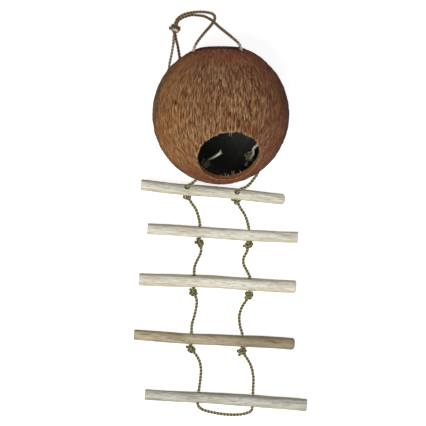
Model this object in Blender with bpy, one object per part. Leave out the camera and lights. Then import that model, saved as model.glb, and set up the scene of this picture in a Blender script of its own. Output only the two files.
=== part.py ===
"""Coconut-shell hideaway with a cord bail and a five-rung stick ladder, laid out on a flat surface.

The shell's axis runs along +Y, with its sawn top facing +Y and its entrance turned up and
towards the ladder. The ladder runs along -Y. The surface is z = 0. Metres, +Z up. The origin
lies on the surface, under the shell's axis and between the second and third rungs.
"""

import math
from collections import namedtuple

import bpy
from mathutils import Matrix, Vector

MM = 0.001

# ---- Shell ---------------------------------------------------------------------------------
SHELL_RADIUS = 62.5 * MM            # across the axis, at the widest
SHELL_TOP_REACH = 63.6 * MM         # centre to the natural top, before it is sawn
SHELL_BOTTOM_REACH = 64.3 * MM      # centre to the blunt bottom
SHELL_WALL = 4.5 * MM               # shell and husk together
SHELL_SAWN_TOP = 61.1 * MM          # centre to the sawn flat
SHELL_CENTRE_Y = 108.6 * MM
SHELL_FACETS = 40                   # around the axis
SHELL_RINGS = 20                    # from pole to pole
CAVITY_FACETS = 32
CAVITY_RINGS = 14
ENTRANCE_FACETS = 40
ENTRANCE_RADIUS = 28.3 * MM
ENTRANCE_RISE = math.radians(45.5)  # from the surface up
ENTRANCE_TURN = math.radians(10)    # around the shell's axis, towards +X

# ---- Cord, its knots and the holes it runs through ------------------------------------------
CORD_DIAMETER = 3.2 * MM
CORD_HOLE_CLEARANCE = 1.4 * MM      # on the diameter
KNOT_RADIUS = 4.3 * MM
BAIL_KNOT_RADIUS = 5.2 * MM
KNOT_RINGS = 7
KNOT_FACETS = 12
SEAT_GAP = 0.3 * MM                 # between pieces that touch
STOP_KNOT_GAP = 1.0 * MM            # between a stop knot and the faceted wall that it pulls against
STRAIGHT_RUN = 3.0 * MM             # of cord beyond each end of a hole in the shell
HOLE_FACETS = 16
POINT_SPACING = 2.2                 # cord diameters between a tube's points
TUBE_SMOOTHNESS = 2                 # bevel resolution of a tube

HOLE_DIAMETER = CORD_DIAMETER + CORD_HOLE_CLEARANCE

# Holes near the shell's sawn top for the bail: turn from straight up, place below the sawn
# flat, and the way out, which leans towards the strand that leaves the hole.
BailHole = namedtuple("BailHole", "turn below way")
BAIL_HOLES = {
    "front_left": BailHole(math.radians(-57), 5.0 * MM, Vector((0.05, 0.95, 0.30))),
    "front_right": BailHole(math.radians(42), 4.1 * MM, Vector((-0.15, 0.93, 0.35))),
    "rear_left": BailHole(math.radians(-140), 11.1 * MM, Vector((-0.40, 0.78, -0.48))),
    "rear_right": BailHole(math.radians(140), 11.1 * MM, Vector((0.40, 0.78, -0.48))),
}
# Holes near the shell's blunt bottom for the ladder: direction from the shell's centre.
LADDER_HOLES = {
    "left": Vector((-0.274, -0.822, -0.497)).normalized(),
    "right": Vector((0.500, -0.700, -0.510)).normalized(),
}

# ---- Rungs ----------------------------------------------------------------------------------
# From the shell down, in millimetres: plan positions of both ends, the radius at both ends,
# how far along the stick each cross hole is from its middle, the length of the rounding at both
# ends, the angle above its knots of a rung that rides on them, in degrees (None for a rung that
# lies on the surface), and whether its bark was peeled late, which leaves the wood tan.
Rung = namedtuple("Rung", "left right radii holes rounding ride tan")
RUNGS = (
    Rung((-74.9, 44.1), (60.8, 30.9), (5.3, 5.2), (-24.6, 22.6), (0.5, 3.6), 62, False),
    Rung((-69.1, 2.3), (73.2, -5.4), (5.3, 5.4), (-21.7, 24.6), (0.5, 0.5), None, False),
    Rung((-77.0, -44.4), (71.4, -51.7), (6.0, 6.1), (-22.4, 30.4), (0.6, 2.0), None, False),
    Rung((-81.8, -97.7), (70.2, -106.4), (4.9, 5.7), (-21.9, 26.4), (0.6, 3.2), None, True),
    Rung((-71.5, -153.5), (81.7, -163.7), (5.1, 6.0), (-26.2, 25.2), (0.5, 0.6), None, False),
)
RUNG_FACETS = 20
RUNG_END_STEPS = 3                  # rings over a rounded end

# ---- Free routes of the cords, in millimetres, as they lie -----------------------------------
# Each stretch runs from the shell or the knot above to the cross hole of the rung below.
SPAN_ROUTES = {
    ("left", 1): ((-20.4, 51.6, 27.4), (-23.6, 48.2, 25.8), (-27.0, 45.4, 24.8), (-30.0, 44.0, 23.0)),
    ("right", 1): (
        (35.0, 58.6, 25.8), (34.4, 54.2, 24.0), (31.4, 50.0, 23.8),
        (28.2, 45.8, 24.4), (24.0, 42.2, 24.7), (18.8, 40.2, 23.2),
    ),
    ("left", 2): ((-27.8, 27.6, 2.4), (-23.6, 21.5, 1.7), (-20.7, 13.4, 2.0)),
    ("right", 2): ((18.4, 23.0, 2.4), (22.3, 17.2, 1.7), (25.1, 10.6, 2.2)),
    ("left", 3): (
        (-18.4, -16.0, 2.6), (-19.2, -21.5, 1.7), (-22.6, -28.2, 1.7), (-24.6, -34.0, 3.4),
    ),
    ("right", 3): (
        (25.0, -19.0, 2.4), (21.9, -25.0, 1.7), (22.0, -31.0, 1.7), (24.8, -36.6, 3.8),
    ),
    ("left", 4): (
        (-22.8, -63.8, 2.4), (-22.7, -70.0, 1.7), (-24.8, -79.9, 1.7), (-27.0, -87.6, 2.6),
    ),
    ("right", 4): (
        (23.8, -66.0, 2.4), (20.2, -71.8, 1.7), (17.8, -79.9, 1.7), (18.4, -89.0, 2.6),
    ),
    ("left", 5): (
        (-23.2, -116.8, 2.4), (-19.9, -123.0, 1.7), (-18.5, -131.1, 1.7), (-19.3, -141.8, 2.4),
    ),
    ("right", 5): (
        (25.4, -120.6, 2.4), (29.2, -128.3, 1.7), (31.1, -137.7, 1.7), (31.0, -146.0, 2.6),
    ),
}
LOOP_ROUTE = (
    (-17.6, -168.3, 2.3), (-8.0, -171.2, 1.7), (6.0, -173.3, 1.7), (19.0, -173.2, 1.7),
    (27.2, -171.0, 2.3),
)
BAIL_KNOT_PLACE = (-43.2, 192.1)    # in plan
# From the knot over the sawn top to the front holes.
BAIL_FRONT_ROUTES = {
    "left": (
        (-41.6, 200.0, 6.8), (-35.4, 205.1, 5.3), (-27.5, 207.3, 5.2), (-20.0, 207.9, 6.8),
        (-13.6, 207.3, 10.2), (-8.2, 205.3, 17.4), (-5.4, 201.3, 28.6), (-6.2, 196.0, 42.0),
        (-9.6, 189.8, 57.0), (-14.2, 183.4, 69.2), (-18.8, 177.2, 76.6), (-22.4, 171.8, 79.4),
    ),
    "right": (
        (-39.8, 199.8, 1.8), (-34.4, 203.3, 1.8), (-27.0, 205.2, 1.8), (-21.0, 204.9, 3.2),
        (-16.2, 203.8, 8.2), (-11.5, 201.0, 17.4), (-6.7, 196.5, 30.4), (-1.2, 189.8, 48.5),
        (5.2, 183.0, 67.0), (10.8, 177.4, 79.2), (15.6, 172.6, 83.8),
    ),
}
# Inside the shell, from a front hole to the rear hole on the same side.
BAIL_INNER_ROUTES = {
    "left": ((-18.5, 150.6, 66.0), (-18.0, 148.6, 54.0), (-19.2, 149.2, 43.0)),
    "right": ((14.0, 151.6, 71.0), (14.0, 148.6, 58.0), (17.0, 148.8, 45.0)),
}
# From the rear holes down to the surface, under the shell and back to the knot.
BAIL_REAR_ROUTES = {
    "left": (
        (-28.4, 163.6, 26.8), (-30.8, 162.2, 22.2), (-32.8, 158.0, 15.8), (-33.8, 152.0, 9.2),
        (-35.8, 145.6, 4.4), (-40.0, 141.0, 2.0), (-45.2, 141.4, 1.7), (-48.4, 146.8, 1.7),
        (-48.9, 153.5, 1.7), (-48.0, 160.5, 1.7), (-46.4, 168.0, 1.7), (-45.2, 175.0, 1.7),
        (-44.5, 180.4, 1.7), (-44.4, 184.9, 1.8),
    ),
    "right": (
        (28.4, 163.4, 27.0), (30.0, 161.0, 21.0), (26.6, 156.0, 13.0), (17.6, 150.4, 6.2),
        (4.0, 145.5, 2.2), (-12.0, 143.5, 1.7), (-26.0, 146.5, 1.7), (-34.5, 154.0, 1.7),
        (-38.0, 162.5, 1.7), (-39.4, 169.5, 1.8), (-40.6, 176.0, 3.2), (-42.0, 181.6, 7.0),
    ),
}

# ---- Finishes: name, base colour, roughness ---------------------------------------------------
HUSK = ("coir_husk", (0.23, 0.10, 0.045), 0.85)
GREY_WOOD = ("weathered_stick", (0.50, 0.46, 0.40), 0.75)
TAN_WOOD = ("peeled_stick", (0.46, 0.37, 0.27), 0.75)
CORD = ("twisted_cord", (0.24, 0.20, 0.13), 0.9)
SMOOTH_BELOW = math.radians(35)     # an edge sharper than this is shown as a crease

# ---- Values that follow from the ones above --------------------------------------------------
RING_STEP = math.pi / SHELL_RINGS
# The widest ring is a flat band with a facet facing down, so its face is this far from the axis.
SHELL_REST_HEIGHT = SHELL_RADIUS * math.cos(RING_STEP / 2) * math.cos(math.pi / SHELL_FACETS)
SHELL_CENTRE = Vector((0, SHELL_CENTRE_Y, SHELL_REST_HEIGHT))
RUNG_FLAT = math.cos(math.pi / RUNG_FACETS)


def clear_scene():
    """Empty the scene of whatever it opened with."""
    for item in list(bpy.data.objects):
        bpy.data.objects.remove(item, do_unlink=True)


def finish_material(finish):
    """A Principled material from a finish's name, colour and roughness."""
    name, colour, roughness = finish
    material = bpy.data.materials.new(name)
    material.use_nodes = True
    shader = material.node_tree.nodes["Principled BSDF"]
    shader.inputs["Base Color"].default_value = (*colour, 1)
    shader.inputs["Roughness"].default_value = roughness
    shader.inputs["Metallic"].default_value = 0
    return material


def mesh_object(name, vertices, faces, finish=None):
    """An object from points and polygons, with its own material where a finish is given."""
    mesh = bpy.data.meshes.new(name)
    mesh.from_pydata(vertices, [], faces)
    mesh.validate()
    mesh.update()
    made = bpy.data.objects.new(name, mesh)
    bpy.context.scene.collection.objects.link(made)
    if finish:
        mesh.materials.append(finish_material(finish))
        mesh.shade_smooth()
        mesh.set_sharp_from_angle(angle=SMOOTH_BELOW)
    return made


def turned_mesh(profile, facets):
    """Points and faces of a closed solid turned about +X.

    The profile is a list of (place along the axis, radius) from the lowest place up. A radius
    of zero at an end makes a point there, and any other makes a flat. One facet faces -Z.
    """
    vertices = []
    rings = []
    for along, radius in profile:
        if radius == 0:
            rings.append([len(vertices)])
            vertices.append((along, 0, 0))
            continue
        ring = []
        for k in range(facets):
            angle = 2 * math.pi * (k + 0.5) / facets
            ring.append(len(vertices))
            vertices.append((along, radius * math.sin(angle), -radius * math.cos(angle)))
        rings.append(ring)
    faces = []
    if len(rings[0]) > 1:
        faces.append(rings[0][::-1])
    if len(rings[-1]) > 1:
        faces.append(list(rings[-1]))
    for lower, upper in zip(rings, rings[1:]):
        for k in range(facets):
            n = (k + 1) % facets
            if len(lower) == 1:
                faces.append([lower[0], upper[n], upper[k]])
            elif len(upper) == 1:
                faces.append([lower[k], lower[n], upper[0]])
            else:
                faces.append([lower[k], lower[n], upper[n], upper[k]])
    return vertices, faces


def frame_along(direction):
    """A rotation that carries +X to a direction and keeps +Z as near up as it can."""
    x = direction.normalized()
    up = Vector((0, 0, 1)) if abs(x.z) < 0.999 else Vector((1, 0, 0))
    y = up.cross(x).normalized()
    return Matrix((x, y, x.cross(y))).transposed().to_4x4()


def turned_object(name, profile, facets, start, direction, finish=None):
    """A turned solid placed with its axis along a direction from a start point."""
    vertices, faces = turned_mesh(profile, facets)
    made = mesh_object(name, vertices, faces, finish)
    made.matrix_world = Matrix.Translation(start) @ frame_along(direction)
    return made


def as_cutter(made):
    """Keep an object out of the model while it still cuts."""
    made.hide_render = True
    made.display_type = "WIRE"
    return made


def cut(body, cutter):
    """Subtract a cutter from a body."""
    modifier = body.modifiers.new("cut_" + cutter.name, "BOOLEAN")
    modifier.operation = "DIFFERENCE"
    modifier.solver = "EXACT"
    modifier.object = cutter


def drill(body, name, start, direction, length, diameter, facets=HOLE_FACETS):
    """Cut a round hole from a start point along a direction."""
    profile = [(0, diameter / 2), (length, diameter / 2)]
    cut(body, as_cutter(turned_object(name + "_cutter", profile, facets, start, direction)))


# ---- Shell -----------------------------------------------------------------------------------

def shell_half_reach(angle):
    """How far the shell reaches from its centre on the side of an angle above its middle."""
    return SHELL_TOP_REACH if angle > 0 else SHELL_BOTTOM_REACH


def shell_profile(inset, rings, top):
    """Turned outline of the shell's outer face, set in by a depth, up to a place along the axis."""
    profile = [(-(SHELL_BOTTOM_REACH - inset), 0.0)]
    step = math.pi / rings
    for k in range(rings):
        angle = -math.pi / 2 + step * (k + 0.5)
        along = (shell_half_reach(angle) - inset) * math.sin(angle)
        if along >= top:
            break
        profile.append((along, (SHELL_RADIUS - inset) * math.cos(angle)))
    reach = SHELL_TOP_REACH - inset
    if top < reach:
        profile.append((top, (SHELL_RADIUS - inset) * math.sqrt(1 - (top / reach) ** 2)))
    else:
        profile.append((reach, 0.0))
    return profile


def bail_hole_axis(hole):
    """Where a bail hole meets the outer face, and the way out of it."""
    along = SHELL_SAWN_TOP - hole.below
    radius = SHELL_RADIUS * math.sqrt(1 - (along / SHELL_TOP_REACH) ** 2)
    place = Vector((radius * math.sin(hole.turn), along, radius * math.cos(hole.turn)))
    return SHELL_CENTRE + place, hole.way.normalized()


def ladder_hole_axis(direction):
    """Where a ladder hole meets the outer face, and its outward direction."""
    across = math.hypot(direction.x, direction.z) / SHELL_RADIUS
    reach = 1 / math.hypot(across, direction.y / SHELL_BOTTOM_REACH)
    return SHELL_CENTRE + direction * reach, direction


def make_shell():
    """The hollow shell, with its entrance and its six cord holes."""
    along_y = Vector((0, 1, 0))
    outer = shell_profile(0, SHELL_RINGS, SHELL_SAWN_TOP)
    shell = turned_object("coconut_shell", outer, SHELL_FACETS, SHELL_CENTRE, along_y, HUSK)
    inner = shell_profile(SHELL_WALL, CAVITY_RINGS, SHELL_TOP_REACH)
    cavity = turned_object("cavity_cutter", inner, CAVITY_FACETS, SHELL_CENTRE, along_y)
    cut(shell, as_cutter(cavity))
    entrance = Vector((
        math.sin(ENTRANCE_RISE) * math.sin(ENTRANCE_TURN),
        -math.cos(ENTRANCE_RISE),
        math.sin(ENTRANCE_RISE) * math.cos(ENTRANCE_TURN),
    ))
    inside = SHELL_CENTRE + entrance * (SHELL_RADIUS / 2)
    diameter = 2 * ENTRANCE_RADIUS
    drill(shell, "entrance", inside, entrance, SHELL_RADIUS, diameter, ENTRANCE_FACETS)
    axes = {"bail_" + name: bail_hole_axis(hole) for name, hole in BAIL_HOLES.items()}
    axes.update({"ladder_" + side: ladder_hole_axis(way) for side, way in LADDER_HOLES.items()})
    for name, (mouth, outward) in axes.items():
        start = mouth - outward * (SHELL_WALL + STRAIGHT_RUN)
        drill(shell, name, start, outward, SHELL_WALL + 2 * STRAIGHT_RUN, HOLE_DIAMETER)


# ---- Rungs -----------------------------------------------------------------------------------

class Stick:
    """A rung's geometry: its axis, its radius along it, and its two cross holes."""

    def __init__(self, rung, knot_radius):
        """Work out the axis from the two ends, and note the radius of the knots below it."""
        left_radius, right_radius = (r * MM for r in rung.radii)
        heights = (left_radius * RUNG_FLAT, right_radius * RUNG_FLAT)
        if rung.ride is not None:
            reach = (left_radius + right_radius) / 2 + SEAT_GAP + knot_radius
            heights = (knot_radius + reach * math.sin(math.radians(rung.ride)),) * 2
        self.left = Vector((rung.left[0] * MM, rung.left[1] * MM, heights[0]))
        self.right = Vector((rung.right[0] * MM, rung.right[1] * MM, heights[1]))
        self.axis = (self.right - self.left).normalized()
        self.length = (self.right - self.left).length
        self.radii = (left_radius, right_radius)
        self.rounding = tuple(r * MM for r in rung.rounding)
        self.offsets = dict(zip(("left", "right"), (h * MM for h in rung.holes)))
        self.finish = TAN_WOOD if rung.tan else GREY_WOOD
        self.knot_radius = knot_radius

    def radius_at(self, along):
        """The radius at a distance from the left end."""
        share = along / self.length
        return self.radii[0] * (1 - share) + self.radii[1] * share

    def on_axis(self, side):
        """Where a cross hole meets the stick's axis, and the radius there."""
        along = self.length / 2 + self.offsets[side]
        return self.left + self.axis * along, self.radius_at(along)

    def hole(self, side):
        """A cross hole's centre, the stick's radius there, and the direction up through it.

        The hole points down at the knot below it, and that knot rests on the surface. Without
        a knot the hole lies flat.
        """
        centre, radius = self.on_axis(side)
        reach = radius + SEAT_GAP + self.knot_radius
        flat = Vector((-self.axis.y, self.axis.x, 0)).normalized()
        drop = (centre.z - self.knot_radius) / reach if self.knot_radius else 0
        upward = flat * math.sqrt(1 - drop ** 2) + Vector((0, 0, drop))
        return centre, radius, upward

    def knot_centre(self, side):
        """The centre of the knot that the rung rests on."""
        centre, radius, upward = self.hole(side)
        return centre - upward * (radius + SEAT_GAP + self.knot_radius)


def stick_profile(stick):
    """Turned outline of a stick, with both ends eased over their rounding."""
    left_round, right_round = stick.rounding
    angles = [math.pi / 2 * k / RUNG_END_STEPS for k in range(RUNG_END_STEPS + 1)]
    profile = []
    for angle in angles:
        along = left_round * (1 - math.cos(angle))
        profile.append((along, stick.radii[0] - left_round * (1 - math.sin(angle))))
    for angle in reversed(angles):
        along = stick.length - right_round * (1 - math.cos(angle))
        profile.append((along, stick.radii[1] - right_round * (1 - math.sin(angle))))
    return profile


def make_rung(number, stick):
    """A rung with its two drilled cross holes."""
    profile = stick_profile(stick)
    name = f"rung_{number}"
    rung = turned_object(name, profile, RUNG_FACETS, stick.left, stick.axis, stick.finish)
    for side in ("left", "right"):
        centre, radius, upward = stick.hole(side)
        start = centre - upward * (2 * radius)
        drill(rung, f"{name}_{side}", start, upward, 4 * radius, HOLE_DIAMETER)


# ---- Cord and knots --------------------------------------------------------------------------

def smooth_points(points):
    """Points read at an even spacing from a smooth curve that passes through the given ones."""
    spaced = [points[0]]
    padded = [points[0] * 2 - points[1], *points, points[-1] * 2 - points[-2]]
    for a, b, c, d in zip(padded, padded[1:], padded[2:], padded[3:]):
        first, last = (c - a) / 2, (d - b) / 2
        limit = (c - b).length
        first = first.normalized() * min(first.length, limit)
        last = last.normalized() * min(last.length, limit)
        steps = max(1, round(limit / (POINT_SPACING * CORD_DIAMETER)))
        for k in range(1, steps + 1):
            t = k / steps
            spaced.append(
                b * (2 * t ** 3 - 3 * t ** 2 + 1) + first * (t ** 3 - 2 * t ** 2 + t)
                + c * (3 * t ** 2 - 2 * t ** 3) + last * (t ** 3 - t ** 2)
            )
    return spaced


def cord_tube(name, points):
    """A stretch of cord along a smooth curve through its points."""
    places = smooth_points(points)
    curve = bpy.data.curves.new(name, "CURVE")
    curve.dimensions = "3D"
    curve.bevel_depth = CORD_DIAMETER / 2
    curve.bevel_resolution = TUBE_SMOOTHNESS
    curve.render_resolution_u = 0
    curve.use_fill_caps = True
    spline = curve.splines.new("POLY")
    spline.points.add(len(places) - 1)
    for point, place in zip(spline.points, places):
        point.co = (*place, 1)
    curve.materials.append(finish_material(CORD))
    bpy.context.scene.collection.objects.link(bpy.data.objects.new(name, curve))


def make_knot(name, centre, radius):
    """The outer shape of an overhand knot, turned about the vertical."""
    profile = [(-radius, 0.0)]
    for k in range(1, KNOT_RINGS):
        angle = math.pi * k / KNOT_RINGS
        profile.append((-radius * math.cos(angle), radius * math.sin(angle)))
    profile.append((radius, 0.0))
    upright = Vector((0, 0, 1))
    turned_object(name, profile, KNOT_FACETS, centre, upright, CORD)


def millimetres(points):
    """Points given in millimetres, as vectors in metres."""
    return [Vector(point) * MM for point in points]


def shell_hole_run(axis):
    """Points of the straight run of cord through a hole in the shell, from outside to inside."""
    mouth, outward = axis
    inner = mouth - outward * SHELL_WALL
    return [mouth + outward * STRAIGHT_RUN, mouth, inner, inner - outward * STRAIGHT_RUN]


def stop_knot_centre(axis):
    """The centre of a stop knot against the shell's inner face."""
    mouth, outward = axis
    return mouth - outward * (SHELL_WALL + STOP_KNOT_GAP + KNOT_RADIUS)


def make_ladder_cord(side, sticks):
    """One side of the ladder's cord, in stretches between its knots, with the knots."""
    axis = ladder_hole_axis(LADDER_HOLES[side])
    mouth, outward = axis
    stop = stop_knot_centre(axis)
    make_knot(f"stop_knot_{side}", stop, KNOT_RADIUS)
    start = [stop + outward * (KNOT_RADIUS + SEAT_GAP), mouth, mouth + outward * STRAIGHT_RUN]
    for number, stick in enumerate(sticks, 1):
        centre, radius, upward = stick.hole(side)
        route = millimetres(SPAN_ROUTES[side, number])
        if number > 1:
            start = [stop + (route[0] - stop).normalized() * (KNOT_RADIUS + SEAT_GAP)]
        upper = centre + upward * radius
        end = centre - upward * radius if stick.knot_radius else centre + upward * SEAT_GAP
        cord_tube(f"ladder_cord_{side}_{number}", [*start, *route, upper, end])
        if stick.knot_radius:
            stop = stick.knot_centre(side)
            make_knot(f"rung_{number}_knot_{side}", stop, stick.knot_radius)


def make_bottom_loop(stick):
    """The cord under the last rung, from inside one cross hole round into the other."""
    ends = {}
    for side in ("left", "right"):
        centre, radius, upward = stick.hole(side)
        ends[side] = [centre, centre - upward * (radius + CORD_DIAMETER / 2)]
    points = [*ends["left"], *millimetres(LOOP_ROUTE), *ends["right"][::-1]]
    cord_tube("bottom_loop", points)


def bail_knot_centre():
    """The bail knot's centre, resting on the surface."""
    return Vector((BAIL_KNOT_PLACE[0] * MM, BAIL_KNOT_PLACE[1] * MM, BAIL_KNOT_RADIUS))


def make_bail(side):
    """One of the bail's two cords: knot, front hole, across the inside, rear hole, knot."""
    centre = bail_knot_centre()
    reach = BAIL_KNOT_RADIUS + SEAT_GAP
    front = millimetres(BAIL_FRONT_ROUTES[side])
    rear = millimetres(BAIL_REAR_ROUTES[side])
    points = [
        centre + (front[0] - centre).normalized() * reach,
        *front,
        *shell_hole_run(bail_hole_axis(BAIL_HOLES["front_" + side])),
        *millimetres(BAIL_INNER_ROUTES[side]),
        *shell_hole_run(bail_hole_axis(BAIL_HOLES["rear_" + side]))[::-1],
        *rear,
        centre + (rear[-1] - centre).normalized() * reach,
    ]
    cord_tube(f"bail_cord_{side}", points)


def main():
    """Make every piece."""
    clear_scene()
    make_shell()
    sticks = [Stick(rung, KNOT_RADIUS) for rung in RUNGS[:-1]]
    sticks.append(Stick(RUNGS[-1], 0))
    for number, stick in enumerate(sticks, 1):
        make_rung(number, stick)
    for side in ("left", "right"):
        make_ladder_cord(side, sticks)
        make_bail(side)
    make_bottom_loop(sticks[-1])
    make_knot("bail_knot", bail_knot_centre(), BAIL_KNOT_RADIUS)
    bpy.context.view_layer.update()


main()
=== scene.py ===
"""Looks of a coconut-shell hideaway with a cord bail and a stick ladder, laid out on a pale floor.

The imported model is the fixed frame. The shell's axis runs along +Y, the ladder runs along -Y and
the floor is z = 0. Everything is in metres unless a name says millimetres.
"""

import logging
import math
import random
from dataclasses import dataclass, field
from enum import Enum
from typing import Any, ClassVar, Optional, Sequence

import bpy
import numpy as np
from mathutils import Matrix, Vector, noise


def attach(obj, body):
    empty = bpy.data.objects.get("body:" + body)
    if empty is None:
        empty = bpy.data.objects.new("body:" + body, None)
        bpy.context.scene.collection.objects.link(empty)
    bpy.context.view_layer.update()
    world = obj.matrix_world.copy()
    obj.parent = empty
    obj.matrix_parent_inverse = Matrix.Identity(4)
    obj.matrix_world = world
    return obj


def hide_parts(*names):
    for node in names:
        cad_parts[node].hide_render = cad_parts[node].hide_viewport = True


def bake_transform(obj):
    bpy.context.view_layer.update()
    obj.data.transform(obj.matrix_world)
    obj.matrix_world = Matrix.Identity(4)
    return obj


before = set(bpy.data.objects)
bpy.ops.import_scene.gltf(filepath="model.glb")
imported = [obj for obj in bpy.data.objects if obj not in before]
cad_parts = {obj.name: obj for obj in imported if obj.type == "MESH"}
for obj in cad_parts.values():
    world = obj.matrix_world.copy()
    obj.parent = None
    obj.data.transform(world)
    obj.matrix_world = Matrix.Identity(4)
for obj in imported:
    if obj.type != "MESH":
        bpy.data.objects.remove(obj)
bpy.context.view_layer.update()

logging.basicConfig(level=logging.INFO, format="%(message)s")
log = logging.getLogger("hideaway")

MM = 0.001
CURVE_STEPS = 24  # straight steps between two points that a curve passes through
HAIR_SIDES = 3  # faces around a loose fibre
HAIR_TIP = 0.35  # a loose fibre's radius at its tip, as a part of that at its root
CUTTER_FACETS = 28  # around a drilled hole
SHARPEST_STICK = math.radians(50)  # edges sharper than this stay sharp
SHARPEST_SHELL = math.radians(55)
NATURAL_IOR = 1.5  # wood, coir and shell

Point = tuple[float, float, float]
Socket = bpy.types.NodeSocket
Tree = bpy.types.NodeTree
Layer = tuple[Socket, Optional[tuple[float, float]], float, str]


class Side(Enum):
    """The two sides of the bail and of the ladder."""

    LEFT = "left"
    RIGHT = "right"


class Wood(Enum):
    """How a stick's wood has aged."""

    WEATHERED = "weathered"
    PEELED = "peeled"
    STAINED = "stained"


# ---- Mesh helpers ----------------------------------------------------------------------------


def vectors(points_mm: Sequence[Point]) -> list[Vector]:
    """Points given in millimetres, as vectors in metres."""
    return [Vector(point) * MM for point in points_mm]


def angles_around(count: int) -> np.ndarray:
    """Even steps of a full turn from 0, in radians."""
    return 2 * np.pi * np.arange(count) / count


def unit_rows(rows: np.ndarray) -> np.ndarray:
    """The rows of an n by 3 array, each with a length of one."""
    return rows / np.linalg.norm(rows, axis=1)[:, None]


def distances_along(path: np.ndarray) -> np.ndarray:
    """How far each point of a path is from its start, along the path."""
    return np.concatenate([[0], np.cumsum(np.linalg.norm(np.diff(path, axis=0), axis=1))])


def noise_at(places: np.ndarray, sizes: Sequence[float], seed: float = 0.0) -> np.ndarray:
    """Smooth noise from about -1 to 1 at many places.

    Args:
        places: An n by 3 array.
        sizes: The size of one grain of noise along each axis, in the unit of the places.
        seed: Moves the pattern, so that two calls differ.

    Returns:
        One value for each place.
    """
    scaled = places / np.asarray(sizes) + seed
    return np.array([noise.noise(place) for place in scaled.tolist()])


def new_piece(
    name: str,
    vertices: np.ndarray,
    faces: Sequence[Sequence[int]],
    materials: Sequence[bpy.types.Material],
    smooth: bool = True,
) -> bpy.types.Object:
    """A mesh object from points and polygons.

    Args:
        name: The object's name.
        vertices: An n by 3 array, in metres.
        faces: The corners of each polygon.
        materials: Its material slots, in order.
        smooth: Whether its faces are shaded smooth.

    Returns:
        The new object, which rides on nothing yet.
    """
    mesh = bpy.data.meshes.new(name)
    mesh.from_pydata(np.asarray(vertices).tolist(), [], faces)
    mesh.validate()
    if smooth:
        mesh.shade_smooth()
    for material in materials:
        mesh.materials.append(material)
    made = bpy.data.objects.new(name, mesh)
    bpy.context.scene.collection.objects.link(made)
    return made


def add_values(piece: bpy.types.Object, name: str, values: np.ndarray) -> None:
    """Store one number or one vector for each vertex, for its material to read.

    Args:
        piece: A mesh object.
        name: The attribute's name.
        values: An array of n numbers, or n by 3.
    """
    kind, key = ("FLOAT_VECTOR", "vector") if values.ndim == 2 else ("FLOAT", "value")
    attribute = piece.data.attributes.new(name, kind, "POINT")
    attribute.data.foreach_set(key, values.astype(np.float32).ravel())


def places_of(piece: bpy.types.Object) -> np.ndarray:
    """The vertices of a mesh object in its own frame, as an n by 3 array."""
    found = np.zeros(len(piece.data.vertices) * 3, np.float32)
    piece.data.vertices.foreach_get("co", found)
    return found.reshape(-1, 3).astype(float)


def move_places(piece: bpy.types.Object, places: np.ndarray) -> None:
    """Put the vertices of a mesh object at new places."""
    piece.data.vertices.foreach_set("co", places.astype(np.float32).ravel())
    piece.data.update()


def ring_faces(rings: int, around: int, capped: bool = True) -> list[list[int]]:
    """Faces of a tube of rings whose vertices are numbered ring by ring.

    Args:
        rings: How many rings.
        around: How many vertices in each.
        capped: Whether both ends are closed with one face each.

    Returns:
        Faces that look outward for rings that run along their normal.
    """
    faces = []
    for ring in range(rings - 1):
        low, high = ring * around, (ring + 1) * around
        for k in range(around):
            n = (k + 1) % around
            faces.append([low + k, low + n, high + n, high + k])
    if capped:
        faces.append(list(range(around))[::-1])
        faces.append([(rings - 1) * around + k for k in range(around)])
    return faces


def frame_along(direction: Vector) -> Matrix:
    """A rotation that carries +X to a direction and keeps +Z as near up as it can."""
    x = direction.normalized()
    up = Vector((0, 0, 1)) if abs(x.z) < 0.999 else Vector((1, 0, 0))
    y = up.cross(x).normalized()
    return Matrix((x, y, x.cross(y))).transposed().to_4x4()


def carried_frames(path: np.ndarray) -> tuple[np.ndarray, np.ndarray]:
    """Two directions across a path at each of its points, which turn as little as they can.

    Args:
        path: An n by 3 array of points.

    Returns:
        Two n by 3 arrays of unit vectors, square to the path and to each other.
    """
    ways = unit_rows(np.gradient(path, axis=0))
    side = Vector(ways[0]).orthogonal().normalized()
    firsts = []
    for way in ways:
        forward = Vector(way)
        side = (side - forward * side.dot(forward)).normalized()
        firsts.append(tuple(side))
    first = np.array(firsts)
    return first, np.cross(ways, first)


def smooth_path(points: Sequence[Vector], spacing: float) -> np.ndarray:
    """Points at an even spacing on a smooth curve through the given ones.

    Args:
        points: The points that the curve passes through.
        spacing: The distance between the points that come back.

    Returns:
        An n by 3 array that starts and ends at the given ends.
    """
    padded = [points[0] * 2 - points[1], *points, points[-1] * 2 - points[-2]]
    dense = [points[0]]
    for a, b, c, d in zip(padded, padded[1:], padded[2:], padded[3:]):
        first, last = (c - a) / 2, (d - b) / 2
        limit = (c - b).length
        first = first.normalized() * min(first.length, limit)
        last = last.normalized() * min(last.length, limit)
        for k in range(1, CURVE_STEPS + 1):
            t = k / CURVE_STEPS
            dense.append(
                b * (2 * t**3 - 3 * t**2 + 1) + first * (t**3 - 2 * t**2 + t)
                + c * (3 * t**2 - 2 * t**3) + last * (t**3 - t**2)
            )
    curve = np.array([tuple(point) for point in dense])
    along = distances_along(curve)
    even = np.linspace(0, along[-1], max(3, round(along[-1] / spacing) + 1))
    return np.stack([np.interp(even, along, curve[:, axis]) for axis in range(3)], axis=1)


def path_length(path: np.ndarray) -> float:
    """The length of a path of points."""
    return float(np.linalg.norm(np.diff(path, axis=0), axis=1).sum())


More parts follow.
